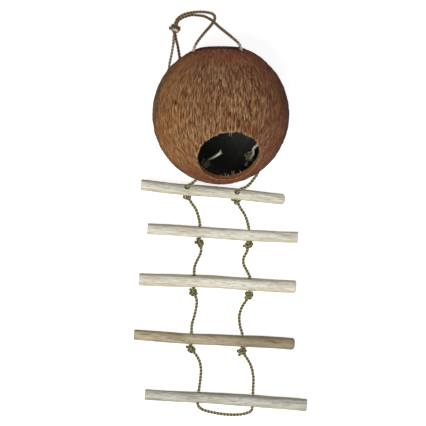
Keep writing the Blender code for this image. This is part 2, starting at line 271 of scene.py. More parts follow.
def fibre_piece(
    name: str,
    hairs: Sequence[np.ndarray],
    radii: Sequence[float],
    shades: Sequence[float],
    finish: bpy.types.Material,
) -> bpy.types.Object:
    """Many thin tapered fibres as one object, each with its own shade.

    Args:
        name: The object's name.
        hairs: The path of each fibre, an n by 3 array.
        radii: The radius of each fibre at its root.
        shades: How pale each fibre is, from 0 to 1.
        finish: The material of the fibres, which reads their shade.

    Returns:
        The fibres as one mesh.
    """
    vertices, faces, start = [], [], 0
    for path, radius in zip(hairs, radii):
        first, second = carried_frames(path)
        taper = radius * np.linspace(1, HAIR_TIP, len(path))[:, None]
        for k in range(HAIR_SIDES):
            angle = 2 * math.pi * k / HAIR_SIDES
            vertices.append(path + taper * (first * math.cos(angle) + second * math.sin(angle)))
        for ring in range(len(path) - 1):
            for k in range(HAIR_SIDES):
                a = start + k * len(path) + ring
                b = start + (k + 1) % HAIR_SIDES * len(path) + ring
                faces.append([a, b, b + 1, a + 1])
        ends = [start + k * len(path) for k in range(HAIR_SIDES)]
        faces.append(ends[::-1])
        faces.append([end + len(path) - 1 for end in ends])
        start += HAIR_SIDES * len(path)
    made = new_piece(name, np.concatenate(vertices), faces, [finish])
    per_vertex = [np.full(HAIR_SIDES * len(hair), shade) for hair, shade in zip(hairs, shades)]
    add_values(made, "shade", np.concatenate(per_vertex))
    return made


def cut_with(piece: bpy.types.Object, cutters: Sequence[bpy.types.Object]) -> None:
    """Subtract closed meshes from a piece, then remove them.

    Args:
        piece: The mesh object that is cut. Its mesh is replaced.
        cutters: Closed mesh objects.
    """
    for cutter in cutters:
        modifier = piece.modifiers.new("cut", "BOOLEAN")
        modifier.operation = "DIFFERENCE"
        modifier.solver = "EXACT"
        modifier.object = cutter
    bpy.context.view_layer.update()
    evaluated = piece.evaluated_get(bpy.context.evaluated_depsgraph_get())
    cut = bpy.data.meshes.new_from_object(evaluated)
    piece.modifiers.clear()
    old, piece.data = piece.data, cut
    cut.name = piece.name
    bpy.data.meshes.remove(old)
    for cutter in cutters:
        bpy.data.objects.remove(cutter, do_unlink=True)


def rod(start: Vector, way: Vector, length: float, radii: np.ndarray) -> bpy.types.Object:
    """A closed straight rod for cutting, whose outline across is given by radii.

    Args:
        start: The middle of its first end.
        way: The direction that it runs in.
        length: How long it is.
        radii: Its radius at even steps around.

    Returns:
        The rod, with no material.
    """
    around = len(radii)
    angles = angles_around(around)
    outline = np.stack([np.zeros(around), radii * np.cos(angles), radii * np.sin(angles)], axis=1)
    local = np.concatenate([outline, outline + [length, 0, 0]])
    turn = frame_along(way)
    world = local @ np.array(turn.to_3x3()).T + np.array(start)
    return new_piece("cutter", world, ring_faces(2, around), [])


# ---- Finishes --------------------------------------------------------------------------------


def linear(colour: str) -> tuple[float, float, float, float]:
    """An sRGB hex colour such as #a08060, as linear red, green, blue and alpha."""
    parts = [int(colour[k : k + 2], 16) / 255 for k in (1, 3, 5)]
    turned = [p / 12.92 if p <= 0.04045 else ((p + 0.055) / 1.055) ** 2.4 for p in parts]
    return (turned[0], turned[1], turned[2], 1.0)


def add_node(
    tree: Tree,
    kind: str,
    settings: Optional[dict[str | int, Any]] = None,
    links: Optional[dict[str | int, Socket]] = None,
) -> bpy.types.Node:
    """Add a node with its settings and its links.

    Args:
        tree: The material's node tree.
        kind: The node's type, such as ShaderNodeTexNoise.
        settings: Values by property name, or by input name or number. The stops of a colour
            ramp are pairs of a number and an sRGB hex colour, in rising order.
        links: Output sockets by the input name or number that each goes into.

    Returns:
        The new node.
    """
    node = tree.nodes.new(kind)
    for name, value in (settings or {}).items():
        if name == "stops":
            while len(node.color_ramp.elements) < len(value):
                node.color_ramp.elements.new(1.0)
            for element, (place, colour) in zip(node.color_ramp.elements, value):
                element.position = place
                element.color = linear(colour)
        elif isinstance(name, str) and hasattr(node, name):
            setattr(node, name, value)
        else:
            node.inputs[name].default_value = value
    for name, socket in (links or {}).items():
        tree.links.new(node.inputs[name], socket)
    return node


def grain(
    tree: Tree, place: Socket, sizes: Point, detail: float = 3.0, shift: float = 0.0
) -> Socket:
    """Noise whose grains have a size along each axis.

    Args:
        tree: The material's node tree.
        place: The vector that it is read at.
        sizes: The size of one grain along each axis, in the unit of the place.
        detail: How many finer octaves it has.
        shift: Moves the pattern, so that two differ.

    Returns:
        The noise's number, from about 0 to 1.
    """
    settings = {"Scale": tuple(1 / size for size in sizes), "Location": (shift, shift, shift)}
    mapping = add_node(tree, "ShaderNodeMapping", settings, {"Vector": place})
    settings = {"Scale": 1.0, "Detail": detail, "Roughness": 0.6}
    links = {"Vector": mapping.outputs["Vector"]}
    return add_node(tree, "ShaderNodeTexNoise", settings, links).outputs["Fac"]


def shaded(tree: Tree, colour: Socket, layers: Sequence[Layer]) -> Socket:
    """Lay shades over a colour, each by a number of its own.

    Args:
        tree: The material's node tree.
        colour: The colour underneath.
        layers: For each shade its number, where on the number it starts and where it is full
            with a soft border between, or None for a number from 0 to 1 that is taken as it
            is, the part of the shade that shows at most, and the shade as an sRGB hex value.

    Returns:
        The colour socket.
    """
    for value, span, part, shade in layers:
        settings: dict[str | int, Any] = {"To Max": part}
        if span:
            settings |= {"From Min": span[0], "From Max": span[1]}
            settings["interpolation_type"] = "SMOOTHSTEP"
        mask = add_node(tree, "ShaderNodeMapRange", settings, {"Value": value})
        settings = {"data_type": "RGBA", 7: linear(shade)}
        links = {0: mask.outputs["Result"], 6: colour}
        colour = add_node(tree, "ShaderNodeMix", settings, links).outputs[2]
    return colour


def finished(
    material: bpy.types.Material,
    colour: Socket | str,
    roughness: float,
    height: Optional[Socket] = None,
    relief: float = 0.0,
) -> bpy.types.Material:
    """Join a colour and a relief to a material's shader.

    Args:
        material: The material, whose node tree holds the sockets.
        colour: Its base colour, a socket or an sRGB hex value.
        roughness: Its roughness.
        height: The relief's height, from 0 to 1, or None for a smooth one.
        relief: How far the relief stands up, in metres.

    Returns:
        The material.
    """
    tree = material.node_tree
    shader = tree.nodes["Principled BSDF"]
    shader.inputs["Roughness"].default_value = roughness
    shader.inputs["IOR"].default_value = NATURAL_IOR
    if isinstance(colour, str):
        shader.inputs["Base Color"].default_value = linear(colour)
    else:
        tree.links.new(shader.inputs["Base Color"], colour)
    if height is not None:
        bump = add_node(tree, "ShaderNodeBump", {"Distance": relief}, {"Height": height})
        tree.links.new(shader.inputs["Normal"], bump.outputs["Normal"])
    return material


def blank(name: str) -> bpy.types.Material:
    """A new material with a Principled shader."""
    material = bpy.data.materials.new(name)
    material.use_nodes = True
    return material


@dataclass(frozen=True)
class CoirHusk:
    """Mature coconut husk, trimmed short, with its fibres running from stem to tip.

    Each fibre is a matt red-brown strand. The outer ones have bleached to tan, and the gaps
    between them are almost black, so the eye sees broken streaks along the shell. Painted shade
    darkens the flanks that curve down to the floor and a band just under the sawn top. The left
    side is partly lightened with painted light and the right side partly darkened with painted
    shade.
    """

    gap: str = "#32120c"
    strand: str = "#704229"
    bleached: str = "#b4966b"
    golden: str = "#a4661c"
    red: str = "#69311c"
    stem: str = "#90492e"
    tip: str = "#76341d"
    flank_shade: str = "#3a150d"
    eye_and_top_edge_shade: str = "#260f0d"
    edge: str = "#b38b58"
    fibre_width_mm: float = 1.15
    fibre_length_mm: float = 6.5
    roughness: float = 0.9
    specular: float = 0.2

    def make(self) -> bpy.types.Material:
        """Build the material. It reads fibre_place, edge and eye from the shell's mesh.

        Places on the husk are in millimetres: X to the right, Y up from the floor and Z along
        the shell from its middle towards the sawn top.
        """
        material = blank("coir_husk")
        tree = material.node_tree
        reader = "ShaderNodeAttribute"
        place = add_node(tree, reader, {"attribute_name": "fibre_place"}).outputs["Vector"]
        edge = add_node(tree, reader, {"attribute_name": "edge"}).outputs["Fac"]
        eye = add_node(tree, reader, {"attribute_name": "eye"}).outputs["Fac"]
        parts = add_node(tree, "ShaderNodeSeparateXYZ", links={"Vector": place}).outputs
        width, length = self.fibre_width_mm, self.fibre_length_mm
        strands = grain(tree, place, (width, width, length), 5.0)
        patches = grain(tree, place, (16.0, 16.0, 26.0), 3.0, 7.3)
        fine = grain(tree, place, (0.35, 0.35, 9.0), 3.0, 2.1)
        stops = [(0.37, self.gap), (0.47, self.strand), (0.64, self.bleached)]
        colour = add_node(tree, "ShaderNodeValToRGB", {"stops": stops}, {"Fac": strands})
        layers = [
            (patches, (0.5, 0.66), 0.6, self.red),
            # Lighter and golden on the left, darker and redder on the right: partly the husk's own
            # colour, partly painted light on the side towards the key light and painted shade on
            # the far side.
            (parts["X"], (-12.0, -60.0), 0.38, self.golden),
            (parts["X"], (20.0, 58.0), 0.66, self.red),
            (parts["Z"], (28.0, 60.0), 0.55, self.stem),
            (parts["Z"], (-42.0, -66.0), 0.55, self.tip),
            # Painted shade on the flanks, where the husk curves down towards the floor.
            (self._shade_height(tree, parts, patches), (24.0, -6.0), 0.72, self.flank_shade),
            # Painted shade along a band just under the sawn top.
            (parts["Z"], (69.5, 73.0), 0.9, self.eye_and_top_edge_shade),
            # The eye's own dark colour.
            (eye, None, 0.9, self.eye_and_top_edge_shade),
            (edge, None, 0.6, self.edge),
        ]
        dressed = shaded(tree, colour.outputs["Color"], layers)
        tree.nodes["Principled BSDF"].inputs["Specular IOR Level"].default_value = self.specular
        return finished(material, dressed, self.roughness, fine, 0.5 * MM)

    def _shade_height(self, tree: Tree, parts: Any, patches: Socket) -> Socket:
        """The height where the painted flank shade ends: ragged, and lower towards the sawn top.

        Args:
            tree: The material's node tree.
            parts: The outputs that give the place's X, Y and Z.
            patches: The large patches, which make it ragged.

        Returns:
            The height's socket, in millimetres above the shell's middle.
        """
        math_node = "ShaderNodeMath"
        settings = {"operation": "MULTIPLY_ADD", 1: 40.0, 2: -20.0}
        stray = add_node(tree, math_node, settings, {0: patches}).outputs[0]
        ragged = add_node(tree, math_node, {"operation": "ADD"}, {0: parts["Y"], 1: stray})
        settings = {
            "interpolation_type": "SMOOTHSTEP",
            "From Min": -24.0,
            "From Max": 8.0,
            "To Max": -15.0,
        }
        drop = add_node(tree, "ShaderNodeMapRange", settings, {"Value": parts["Z"]})
        links = {0: ragged.outputs[0], 1: drop.outputs["Result"]}
        return add_node(tree, math_node, {"operation": "ADD"}, links).outputs[0]


@dataclass(frozen=True)
class ShellInside:
    """The bare inner face of a coconut shell, scraped clean, dark brown and dull."""

    light: str = "#4e4f4d"
    dark: str = "#3b3b3a"
    roughness: float = 0.8

    def make(self) -> bpy.types.Material:
        """Build the material, with faint streaks from the scraper."""
        material = blank("shell_inside")
        tree = material.node_tree
        place = add_node(tree, "ShaderNodeAttribute", {"attribute_name": "fibre_place"})
        streaks = grain(tree, place.outputs["Vector"], (3.0, 3.0, 12.0), 3.0)
        settings = {"stops": [(0.3, self.dark), (0.8, self.light)]}
        colour = add_node(tree, "ShaderNodeValToRGB", settings, {"Fac": streaks})
        return finished(material, colour.outputs["Color"], self.roughness, streaks, 0.2 * MM)


@dataclass(frozen=True)
class SawnShell:
    """The wall of a coconut shell where a saw went through husk and shell, tan and rough."""

    light: str = "#a97c4c"
    dark: str = "#5b3a20"
    rind: str = "#4a2615"
    husk: str = "#7b4027"
    stone: str = "#50382a"
    roughness: float = 0.85

    def make(self) -> bpy.types.Material:
        """Build the material, with specks where fibre ends were cut across.

        The sawn flat has a dark rind around it, and the hard shell shows in its middle. Both
        have a ragged border, because the saw wandered. The entrance's lower edge is cut through
        the red husk at the tip.
        """
        material = blank("sawn_shell")
        tree = material.node_tree
        place = add_node(tree, "ShaderNodeAttribute", {"attribute_name": "fibre_place"})
        place = place.outputs["Vector"]
        specks = grain(tree, place, (0.9, 0.9, 0.9), 4.0)
        settings = {"stops": [(0.35, self.dark), (0.62, self.light)]}
        colour = add_node(tree, "ShaderNodeValToRGB", settings, {"Fac": specks})
        patches = grain(tree, place, (9.0, 9.0, 4.0), 3.0, 5.3)
        settings = {"operation": "MULTIPLY_ADD", 1: 9.0, 2: -4.5}
        stray = add_node(tree, "ShaderNodeMath", settings, {0: patches}).outputs[0]
        up = add_node(tree, "ShaderNodeSeparateXYZ", links={"Vector": place}).outputs["Z"]
        height = add_node(tree, "ShaderNodeMath", {"operation": "ADD"}, {0: up, 1: stray})
        height = height.outputs[0]
        settings = {"interpolation_type": "SMOOTHSTEP", "From Min": 75.0, "From Max": 77.0}
        flat = add_node(tree, "ShaderNodeMapRange", settings, {"Value": up}).outputs["Result"]
        settings = {"interpolation_type": "SMOOTHSTEP", "From Min": 85.0, "From Max": 82.0}
        near_rim = add_node(tree, "ShaderNodeMapRange", settings, {"Value": height})
        links = {0: flat, 1: near_rim.outputs["Result"]}
        ring = add_node(tree, "ShaderNodeMath", {"operation": "MULTIPLY"}, links).outputs[0]
        layers = [
            (up, (-50.0, -72.0), 0.6, self.husk),
            (height, (88.5, 91.0), 0.75, self.stone),
            (ring, None, 0.7, self.rind),
        ]
        dressed = shaded(tree, colour.outputs["Color"], layers)
        return finished(material, dressed, self.roughness, specks, 0.4 * MM)


@dataclass(frozen=True)
class LooseFibre:
    """Single coir or cord fibres that stand off the surface, each with its own shade."""

    name: str
    dark: str
    light: str
    roughness: float = 0.8

    def make(self) -> bpy.types.Material:
        """Build the material. It reads shade, which the mesh stores for each fibre."""
        material = blank(self.name)
        tree = material.node_tree
        shade = add_node(tree, "ShaderNodeAttribute", {"attribute_name": "shade"}).outputs["Fac"]
        settings = {"stops": [(0.0, self.dark), (1.0, self.light)]}
        colour = add_node(tree, "ShaderNodeValToRGB", settings, {"Fac": shade})
        return finished(material, colour.outputs["Color"], self.roughness)


@dataclass(frozen=True)
class StickWood:
    """A peeled branch, dried outdoors: silvery, with darker lines where the grain opened.

    The surface is matt and slightly furry, so it has no gloss at all. A little of the tan inner
    bark is left along the side that faces away from the shell, and the side that faces the shell
    carries a band of painted shade.
    """

    name: str
    light: str
    middle: str
    line: str
    stain: str
    bark: str
    grey_and_edge_shade: str
    stain_share: float = 0.4
    worn_share: float = 0.0
    roughness: float = 0.9

    def make(self) -> bpy.types.Material:
        """Build the material. It reads the stick's own frame, with +X along the stick."""
        material = blank(self.name)
        tree = material.node_tree
        place = add_node(tree, "ShaderNodeTexCoord").outputs["Object"]
        wide = grain(tree, place, (26 * MM, 1.6 * MM, 1.6 * MM), 4.0)
        fine = grain(tree, place, (9 * MM, 0.6 * MM, 0.6 * MM), 4.0, 3.7)
        stains = grain(tree, place, (20 * MM, 2.6 * MM, 2.6 * MM), 4.0, 11.0)
        settings = {"stops": [(0.40, self.middle), (0.56, self.light)]}
        colour = add_node(tree, "ShaderNodeValToRGB", settings, {"Fac": wide})
        parts = add_node(tree, "ShaderNodeSeparateXYZ", links={"Vector": place}).outputs
        layers = [
            (parts["X"], (60 * MM, 115 * MM), self.worn_share, self.grey_and_edge_shade),
            (parts["Y"], (-2.8 * MM, -5.2 * MM), 0.7, self.bark),
            # Painted shade along the side that faces the shell, away from the key light.
            (parts["Y"], (2.4 * MM, 4.6 * MM), 0.7, self.grey_and_edge_shade),
            (stains, (0.55, 0.68), self.stain_share, self.stain),
            (fine, (0.54, 0.64), 0.8, self.line),
        ]
        dressed = shaded(tree, colour.outputs["Color"], layers)
        return finished(material, dressed, self.roughness, fine, 0.4 * MM)


@dataclass(frozen=True)
class SawnStick:
    """A stick's sawn end or drilled hole: end grain, darker than its side and quite rough."""

    name: str
    light: str
    dark: str
    ring_mm: float = 0.9
    waves_per_unit: float = 20.0  # how many rings Blender draws in one unit at a scale of 1
    roughness: float = 0.9

    def make(self) -> bpy.types.Material:
        """Build the material, with growth rings around the stick's +X axis."""
        material = blank(self.name)
        tree = material.node_tree
        place = add_node(tree, "ShaderNodeTexCoord").outputs["Object"]
        settings = {
            "wave_type": "RINGS",
            "rings_direction": "X",
            "Scale": 1 / (self.ring_mm * MM) / self.waves_per_unit,
            "Distortion": 2.5,
            "Detail": 2.0,
        }
        rings = add_node(tree, "ShaderNodeTexWave", settings, {"Vector": place}).outputs["Fac"]
        settings = {"stops": [(0.1, self.dark), (0.8, self.light)]}
        colour = add_node(tree, "ShaderNodeValToRGB", settings, {"Fac": rings})
        return finished(material, colour.outputs["Color"], self.roughness, rings, 0.2 * MM)


@dataclass(frozen=True)
class TwistedCord:
    """Two-ply cord of hard natural fibre, olive-brown, with painted shade where the plies meet.

    The crowns of the plies carry a painted highlight, and a frayed or freshly cut stretch is
    straw-coloured.
    """

    crease_shade: str = "#1c170d"
    ply: str = "#605535"
    crown: str = "#a1976f"
    straw: str = "#dedccb"
    handled: str = "#d19a76"
    roughness: float = 0.9

    def make(self) -> bpy.types.Material:
        """Build the material. It reads crown, pale, brown and yarn_place from the cord's mesh."""
        material = blank("twisted_cord")
        tree = material.node_tree
        reader = "ShaderNodeAttribute"
        place = add_node(tree, reader, {"attribute_name": "yarn_place"}).outputs["Vector"]
        crown = add_node(tree, reader, {"attribute_name": "crown"}).outputs["Fac"]
        brown = add_node(tree, reader, {"attribute_name": "brown"}).outputs["Fac"]
        pale = add_node(tree, reader, {"attribute_name": "pale"}).outputs["Fac"]
        yarn = grain(tree, place, (0.35, 0.35, 3.0), 3.0)
        settings = {"operation": "MULTIPLY_ADD", 1: 0.5, 2: -0.25}
        shift = add_node(tree, "ShaderNodeMath", settings, {0: yarn}).outputs[0]
        level = add_node(tree, "ShaderNodeMath", {"operation": "ADD"}, {0: crown, 1: shift})
        # Painted shade in the creases between the plies, the ply's own colour, and a painted
        # highlight on the crowns.
        stops = [(0.12, self.crease_shade), (0.5, self.ply), (0.95, self.crown)]
        links = {"Fac": level.outputs[0]}
        colour = add_node(tree, "ShaderNodeValToRGB", {"stops": stops}, links).outputs["Color"]
        settings = {"data_type": "RGBA", "blend_type": "MULTIPLY", 7: linear(self.handled)}
        colour = add_node(tree, "ShaderNodeMix", settings, {0: brown, 6: colour}).outputs[2]
        dressed = shaded(tree, colour, [(pale, None, 1.0, self.straw)])
        return finished(material, dressed, self.roughness, yarn, 0.25 * MM)


@dataclass(frozen=True)
class PaleFloor:
    """A plain white matt sheet that is lit from behind, so that shadows on it are faint."""

    colour: str = "#d8d8d8"
    glow: float = 1.05
    roughness: float = 0.95

    def make(self) -> bpy.types.Material:
        """Build the material."""
        material = finished(blank("pale_floor"), self.colour, self.roughness)
        shader = material.node_tree.nodes["Principled BSDF"]
        shader.inputs["Emission Color"].default_value = linear(self.colour)
        shader.inputs["Emission Strength"].default_value = self.glow
        return material


# ---- Cord ------------------------------------------------------------------------------------


@dataclass
class CordMaker:
    """Makes lengths of the two-ply cord, its knots and its loose fibres."""

    cord_finish: bpy.types.Material
    fibre_finish: bpy.types.Material
    diameter: float = 3.2 * MM
    ply_offset: float = 0.195
    ply_radius: float = 0.30
    twist_pitch: float = 6.2 * MM
    swell: float = 0.05
    fuzz: float = 0.09 * MM
    ring_spacing: float = 0.42 * MM
    around: int = 24
    tail_share: float = 0.8
    knot_share: float = 0.88
    fibre_radius: float = 0.07 * MM
    fibres_per_mm: float = 2.4
    rng: random.Random = field(default_factory=lambda: random.Random(5))

    def _section(self, diameter: float) -> tuple[np.ndarray, np.ndarray]:
        """The cord's outline across: two touching plies.

        Args:
            diameter: Over both plies.

        Returns:
            The radius at even steps around, and how near each step is to a ply's crown, which
            places the painted highlight on the crowns and the painted shade in the creases.
        """
        angles = angles_around(self.around)
        offset, ply = self.ply_offset * diameter, self.ply_radius * diameter
        lean = np.abs(np.cos(angles))
        radii = offset * lean + np.sqrt(ply**2 - offset**2 * (1 - lean**2))
        crown = (radii - radii.min()) / (radii.max() - radii.min())
        return radii, crown

    def tube(
        self,
        name: str,
        path: np.ndarray,
        diameter: Optional[float] = None,
        pale_ends: tuple[float, float] = (0.0, 0.0),
        pale: float = 0.0,
        brown: float = 0.0,
    ) -> bpy.types.Object:
        """A length of cord along a path.

        Args:
            name: The object's name.
            path: Points at an even spacing.
            diameter: The cord's, where it is pulled thinner than it lies free.
            pale_ends: How much of the cord is straw-coloured at its start and end, in metres.
            pale: How straw-coloured the whole length is, from 0 to 1.
            brown: How brown the whole length has darkened, from 0 to 1.

        Returns:
            The cord as one closed mesh.
        """
        radii, crown = self._section(diameter or self.diameter)
        first, second = carried_frames(path)
        along = distances_along(path)
        turn = 2 * np.pi * along / self.twist_pitch
        angles = angles_around(self.around)
        around = angles[None, :] + turn[:, None]
        yarn = np.stack(
            [
                np.broadcast_to(radii * np.cos(angles) / MM, around.shape),
                np.broadcast_to(radii * np.sin(angles) / MM, around.shape),
                np.broadcast_to(along[:, None] / MM, around.shape),
            ],
            axis=2,
        ).reshape(-1, 3)
        seed = self.rng.uniform(0, 50)
        waves = noise_at(yarn * (0, 0, 1), (1, 1, 7), seed).reshape(around.shape)
        swell = 1 + self.swell * waves
        fuzz = self.fuzz * noise_at(yarn, (0.5, 0.5, 2.2), seed).reshape(around.shape)
        reach = radii[None, :] * swell + fuzz
        places = (
            path[:, None, :]
            + (reach * np.cos(around))[..., None] * first[:, None, :]
            + (reach * np.sin(around))[..., None] * second[:, None, :]
        )
        faces = ring_faces(len(path), self.around)
        made = new_piece(name, places.reshape(-1, 3), faces, [self.cord_finish])
        start = np.clip(1 - along / max(pale_ends[0], 1e-9), 0, 1)
        end = np.clip(1 - (along[-1] - along) / max(pale_ends[1], 1e-9), 0, 1)
        straw = np.clip(pale + 0.9 * start + 0.9 * end, 0, 1)
        # How near each vertex is to a ply's crown: where the material paints highlight and shade.
        add_values(made, "crown", np.broadcast_to(crown, around.shape).ravel())
        add_values(made, "pale", np.repeat(straw, self.around))
        add_values(made, "brown", np.full(around.size, brown))
        add_values(made, "yarn_place", yarn + seed)
        return made

    def fibres(self, name: str, path: np.ndarray) -> bpy.types.Object:
        """Short fibres that stand off a length of cord.

        Args:
            name: The object's name.
            path: The cord's path.

        Returns:
            The fibres as one mesh.
        """
        first, second = carried_frames(path)
        ways = unit_rows(np.gradient(path, axis=0))
        hairs, radii, shades = [], [], []
        for _ in range(round(path_length(path) / MM * self.fibres_per_mm)):
            k = self.rng.randrange(2, len(path) - 2)
            angle = self.rng.uniform(0, 2 * math.pi)
            outward = first[k] * math.cos(angle) + second[k] * math.sin(angle)
            slant = ways[k] * self.rng.choice((-1, 1)) * self.rng.uniform(0.8, 2.2)
            bend = np.cross(outward, ways[k]) * self.rng.uniform(-0.5, 0.5)
            length = self.rng.uniform(0.5, 1.5) * MM
            root = path[k] + outward * 0.36 * self.diameter
            steps = np.linspace(0, 1, 4)[:, None]
            hair = root + length * (steps * (outward + slant) * 0.6 + steps**2 * bend)
            hair[:, 2] = np.maximum(hair[:, 2], 0.1 * MM)
            hairs.append(hair)
            radii.append(self.fibre_radius * self.rng.uniform(0.6, 1.2))
            shades.append(self.rng.random())
        return fibre_piece(name, hairs, radii, shades, self.fibre_finish)

    def frayed_end(
        self, name: str, root: Vector, way: Vector, length: float, strands: int = 16
    ) -> bpy.types.Object:
        """The cut end of a cord, opened into its fibres.

        Args:
            name: The object's name.
            root: Where the fibres leave the cord.
            way: The direction that they run in.
            length: The longest fibre's.
            strands: How many bundles of fibre there are.

        Returns:
            The fibres as one mesh.
        """
        hairs, radii, shades = [], [], []
        forward = way.normalized()
        for _ in range(strands):
            jitter = Vector([self.rng.uniform(-1, 1) for _ in range(3)])
            across = jitter - forward * jitter.dot(forward)
            reach = length * self.rng.uniform(0.6, 1.0)
            steps = np.linspace(0, 1, 6)
            points = [
                root + across * 0.9 * MM + forward * reach * s + across * (1.1 * MM * s * s)
                for s in steps
            ]
            hair = np.array([tuple(point) for point in points])
            hair[:, 2] = np.maximum(hair[:, 2], 0.15 * MM)
            hairs.append(hair)
            radii.append(self.rng.uniform(0.16, 0.3) * MM)
            shades.append(self.rng.uniform(0.6, 1.0))
        return fibre_piece(name, hairs, radii, shades, self.fibre_finish)

    def overhand_knot(
        self,
        name: str,
        centre: Vector,
        axis: Vector,
        radius: float,
        turn: float,
        shades: tuple[float, float] = (0.0, 0.0),
    ) -> bpy.types.Object:
        """A pulled-up overhand knot: a trefoil of cord, drawn tight.

        Args:
            name: The object's name.
            centre: The knot's middle.
            axis: The direction that the trefoil faces.
            radius: Its outer radius.
            turn: How far it is turned about its axis, in radians.
            shades: How straw-coloured and how brown it is, from 0 to 1.

        Returns:
            The knot as one mesh, flattened where it would go through the floor.
        """
        strand = self.knot_share * self.diameter
        small = 0.31 * (radius - strand / 2)
        large = radius - strand / 2 - small
        t = np.linspace(math.pi / 3, math.pi / 3 + 2 * math.pi * 1.01, 120)
        reach = large + small * np.cos(3 * t)
        local = np.stack(
            [small * 1.35 * np.sin(3 * t), reach * np.cos(2 * t), reach * np.sin(2 * t)], axis=1
        )
        spin = Matrix.Rotation(turn, 4, "X")
        place = frame_along(axis) @ spin
        path = local @ np.array(place.to_3x3()).T + np.array(centre)
        made = self.tube(name, path, strand, (0.0, 0.0), *shades)
        places = places_of(made)
        floor_gap = 0.05 * MM
        low = places[:, 2].min()
        if low < floor_gap:
            squeeze = (centre.z - floor_gap) / (centre.z - low)
            below = places[:, 2] < centre.z
            places[below, 2] = centre.z + (places[below, 2] - centre.z) * squeeze
            move_places(made, places)
        return made


# ---- Sticks ----------------------------------------------------------------------------------


@dataclass
class Stick:
    """One rung: a peeled branch with two cross holes, shaped in its own frame along +X."""

    number: int
    left_mm: tuple[float, float]
    right_mm: tuple[float, float]
    radii_mm: tuple[float, float]
    holes_mm: tuple[float, float]
    rounding_mm: tuple[float, float]
    wood: Wood = Wood.WEATHERED
    ride_deg: Optional[float] = None
    knot_radius: float = 4.3 * MM
    seat_gap: float = 0.3 * MM
    flat_share: float = math.cos(math.pi / 20)
    hole_diameter: float = 5.2 * MM
    around: int = 56
    ring_spacing: float = 0.8 * MM

    def __post_init__(self) -> None:
        """Work out the stick's axis from its ends."""
        self.radii = tuple(radius * MM for radius in self.radii_mm)
        heights = [radius * self.flat_share for radius in self.radii]
        if self.ride_deg is not None:
            reach = sum(self.radii) / 2 + self.seat_gap + self.knot_radius
            heights = [self.knot_radius + reach * math.sin(math.radians(self.ride_deg))] * 2
        self.start = Vector((self.left_mm[0] * MM, self.left_mm[1] * MM, heights[0]))
        end = Vector((self.right_mm[0] * MM, self.right_mm[1] * MM, heights[1]))
        self.length = (end - self.start).length
        self.axis = (end - self.start).normalized()

    @property
    def body(self) -> str:
        """The name of the body that the stick belongs to."""
        return "rung_5_and_loop" if self.number == 5 else f"rung_{self.number}_and_knots"

    def hole(self, side: Side) -> tuple[Vector, float, Vector]:
        """A cross hole's centre, the stick's radius there, and the direction up through it."""
        offset = self.holes_mm[0 if side is Side.LEFT else 1] * MM
        along = self.length / 2 + offset
        share = along / self.length
        radius = self.radii[0] * (1 - share) + self.radii[1] * share
        centre = self.start + self.axis * along
        flat = Vector((-self.axis.y, self.axis.x, 0)).normalized()
        if self.knot_radius == 0:
            return centre, radius, flat
        drop = (centre.z - self.knot_radius) / (radius + self.seat_gap + self.knot_radius)
        return centre, radius, flat * math.sqrt(1 - drop**2) + Vector((0, 0, drop))

    def knot_centre(self, side: Side) -> Vector:
        """The centre of the knot under a cross hole."""
        centre, radius, upward = self.hole(side)
        return centre - upward * (radius + self.seat_gap + self.knot_radius)

    def build(
        self, side_finish: bpy.types.Material, end_finish: bpy.types.Material
    ) -> bpy.types.Object:
        """The stick's mesh, with its grain, its growth bumps, its sawn ends and its holes.

        Args:
            side_finish: The material of its side.
            end_finish: The material of its ends and of its holes.

        Returns:
            The stick, placed but riding on nothing.
        """
        rng = random.Random(40 + self.number)
        left, right = (max(value, 0.3) * MM for value in self.rounding_mm)
        along = np.concatenate(
            [
                left * np.linspace(0, 1, 8)[:-1] ** 1.5,
                np.arange(left, self.length - right, self.ring_spacing),
                self.length - right * np.linspace(0, 1, 8)[::-1] ** 1.5,
            ]
        )
        share = along / self.length
        full = self.radii[0] * (1 - share) + self.radii[1] * share
        near_left = np.clip(1 - along / left, 0, 1)
        near_right = np.clip(1 - (self.length - along) / right, 0, 1)
        eased_left = left * (1 - np.sqrt(1 - near_left**2))
        eased_right = right * (1 - np.sqrt(1 - near_right**2))
        full = full - eased_left - eased_right
        angles = angles_around(self.around)
        x, turn = np.meshgrid(along, angles, indexing="ij")
        base = np.stack([x, full[:, None] * np.cos(turn), full[:, None] * np.sin(turn)], axis=2)
        flat = base.reshape(-1, 3)
        seed = 3.1 * self.number
        slow = noise_at(flat, (22 * MM, 9 * MM, 9 * MM), seed).reshape(x.shape)
        ridge = noise_at(flat, (24 * MM, 1.5 * MM, 1.5 * MM), seed + 9).reshape(x.shape)
        reach = full[:, None] * (1 + 0.055 * slow) + 0.16 * MM * ridge
        for _ in range(4):
            place, angle = rng.uniform(0.1, 0.9) * self.length, rng.uniform(-0.6, 2.2)
            gap = np.abs((turn - angle + math.pi) % (2 * math.pi) - math.pi) * full[:, None]
            away = np.hypot((x - place) / 2.2, gap)
            reach += rng.uniform(0.2, 0.5) * MM * np.exp(-((away / (1.6 * MM)) ** 2))
            reach -= 0.35 * MM * np.exp(-((away / (0.6 * MM)) ** 2))
        wander = np.stack(
            [np.zeros(len(along))]
            + [
                0.5 * MM * np.sin(share * math.pi * rng.uniform(1.5, 3) + rng.uniform(0, 6))
                for _ in range(2)
            ],
            axis=1,
        )
        places = np.stack([x, reach * np.cos(turn), reach * np.sin(turn)], axis=2)
        places += wander[:, None, :]
        count = len(along)
        rings = places.reshape(-1, 3)
        faces = ring_faces(count, self.around, capped=False)
        rings, faces = self._add_ends(rings, faces, count, seed)
        name = f"stick_{self.number}"
        made = new_piece(name, rings, faces, [side_finish, end_finish])
        made.matrix_world = Matrix.Translation(self.start) @ frame_along(self.axis)
        self._lift(made)
        cut_with(made, [self._hole_cutter(side) for side in Side])
        self._mark_cut_faces(made)
        return made

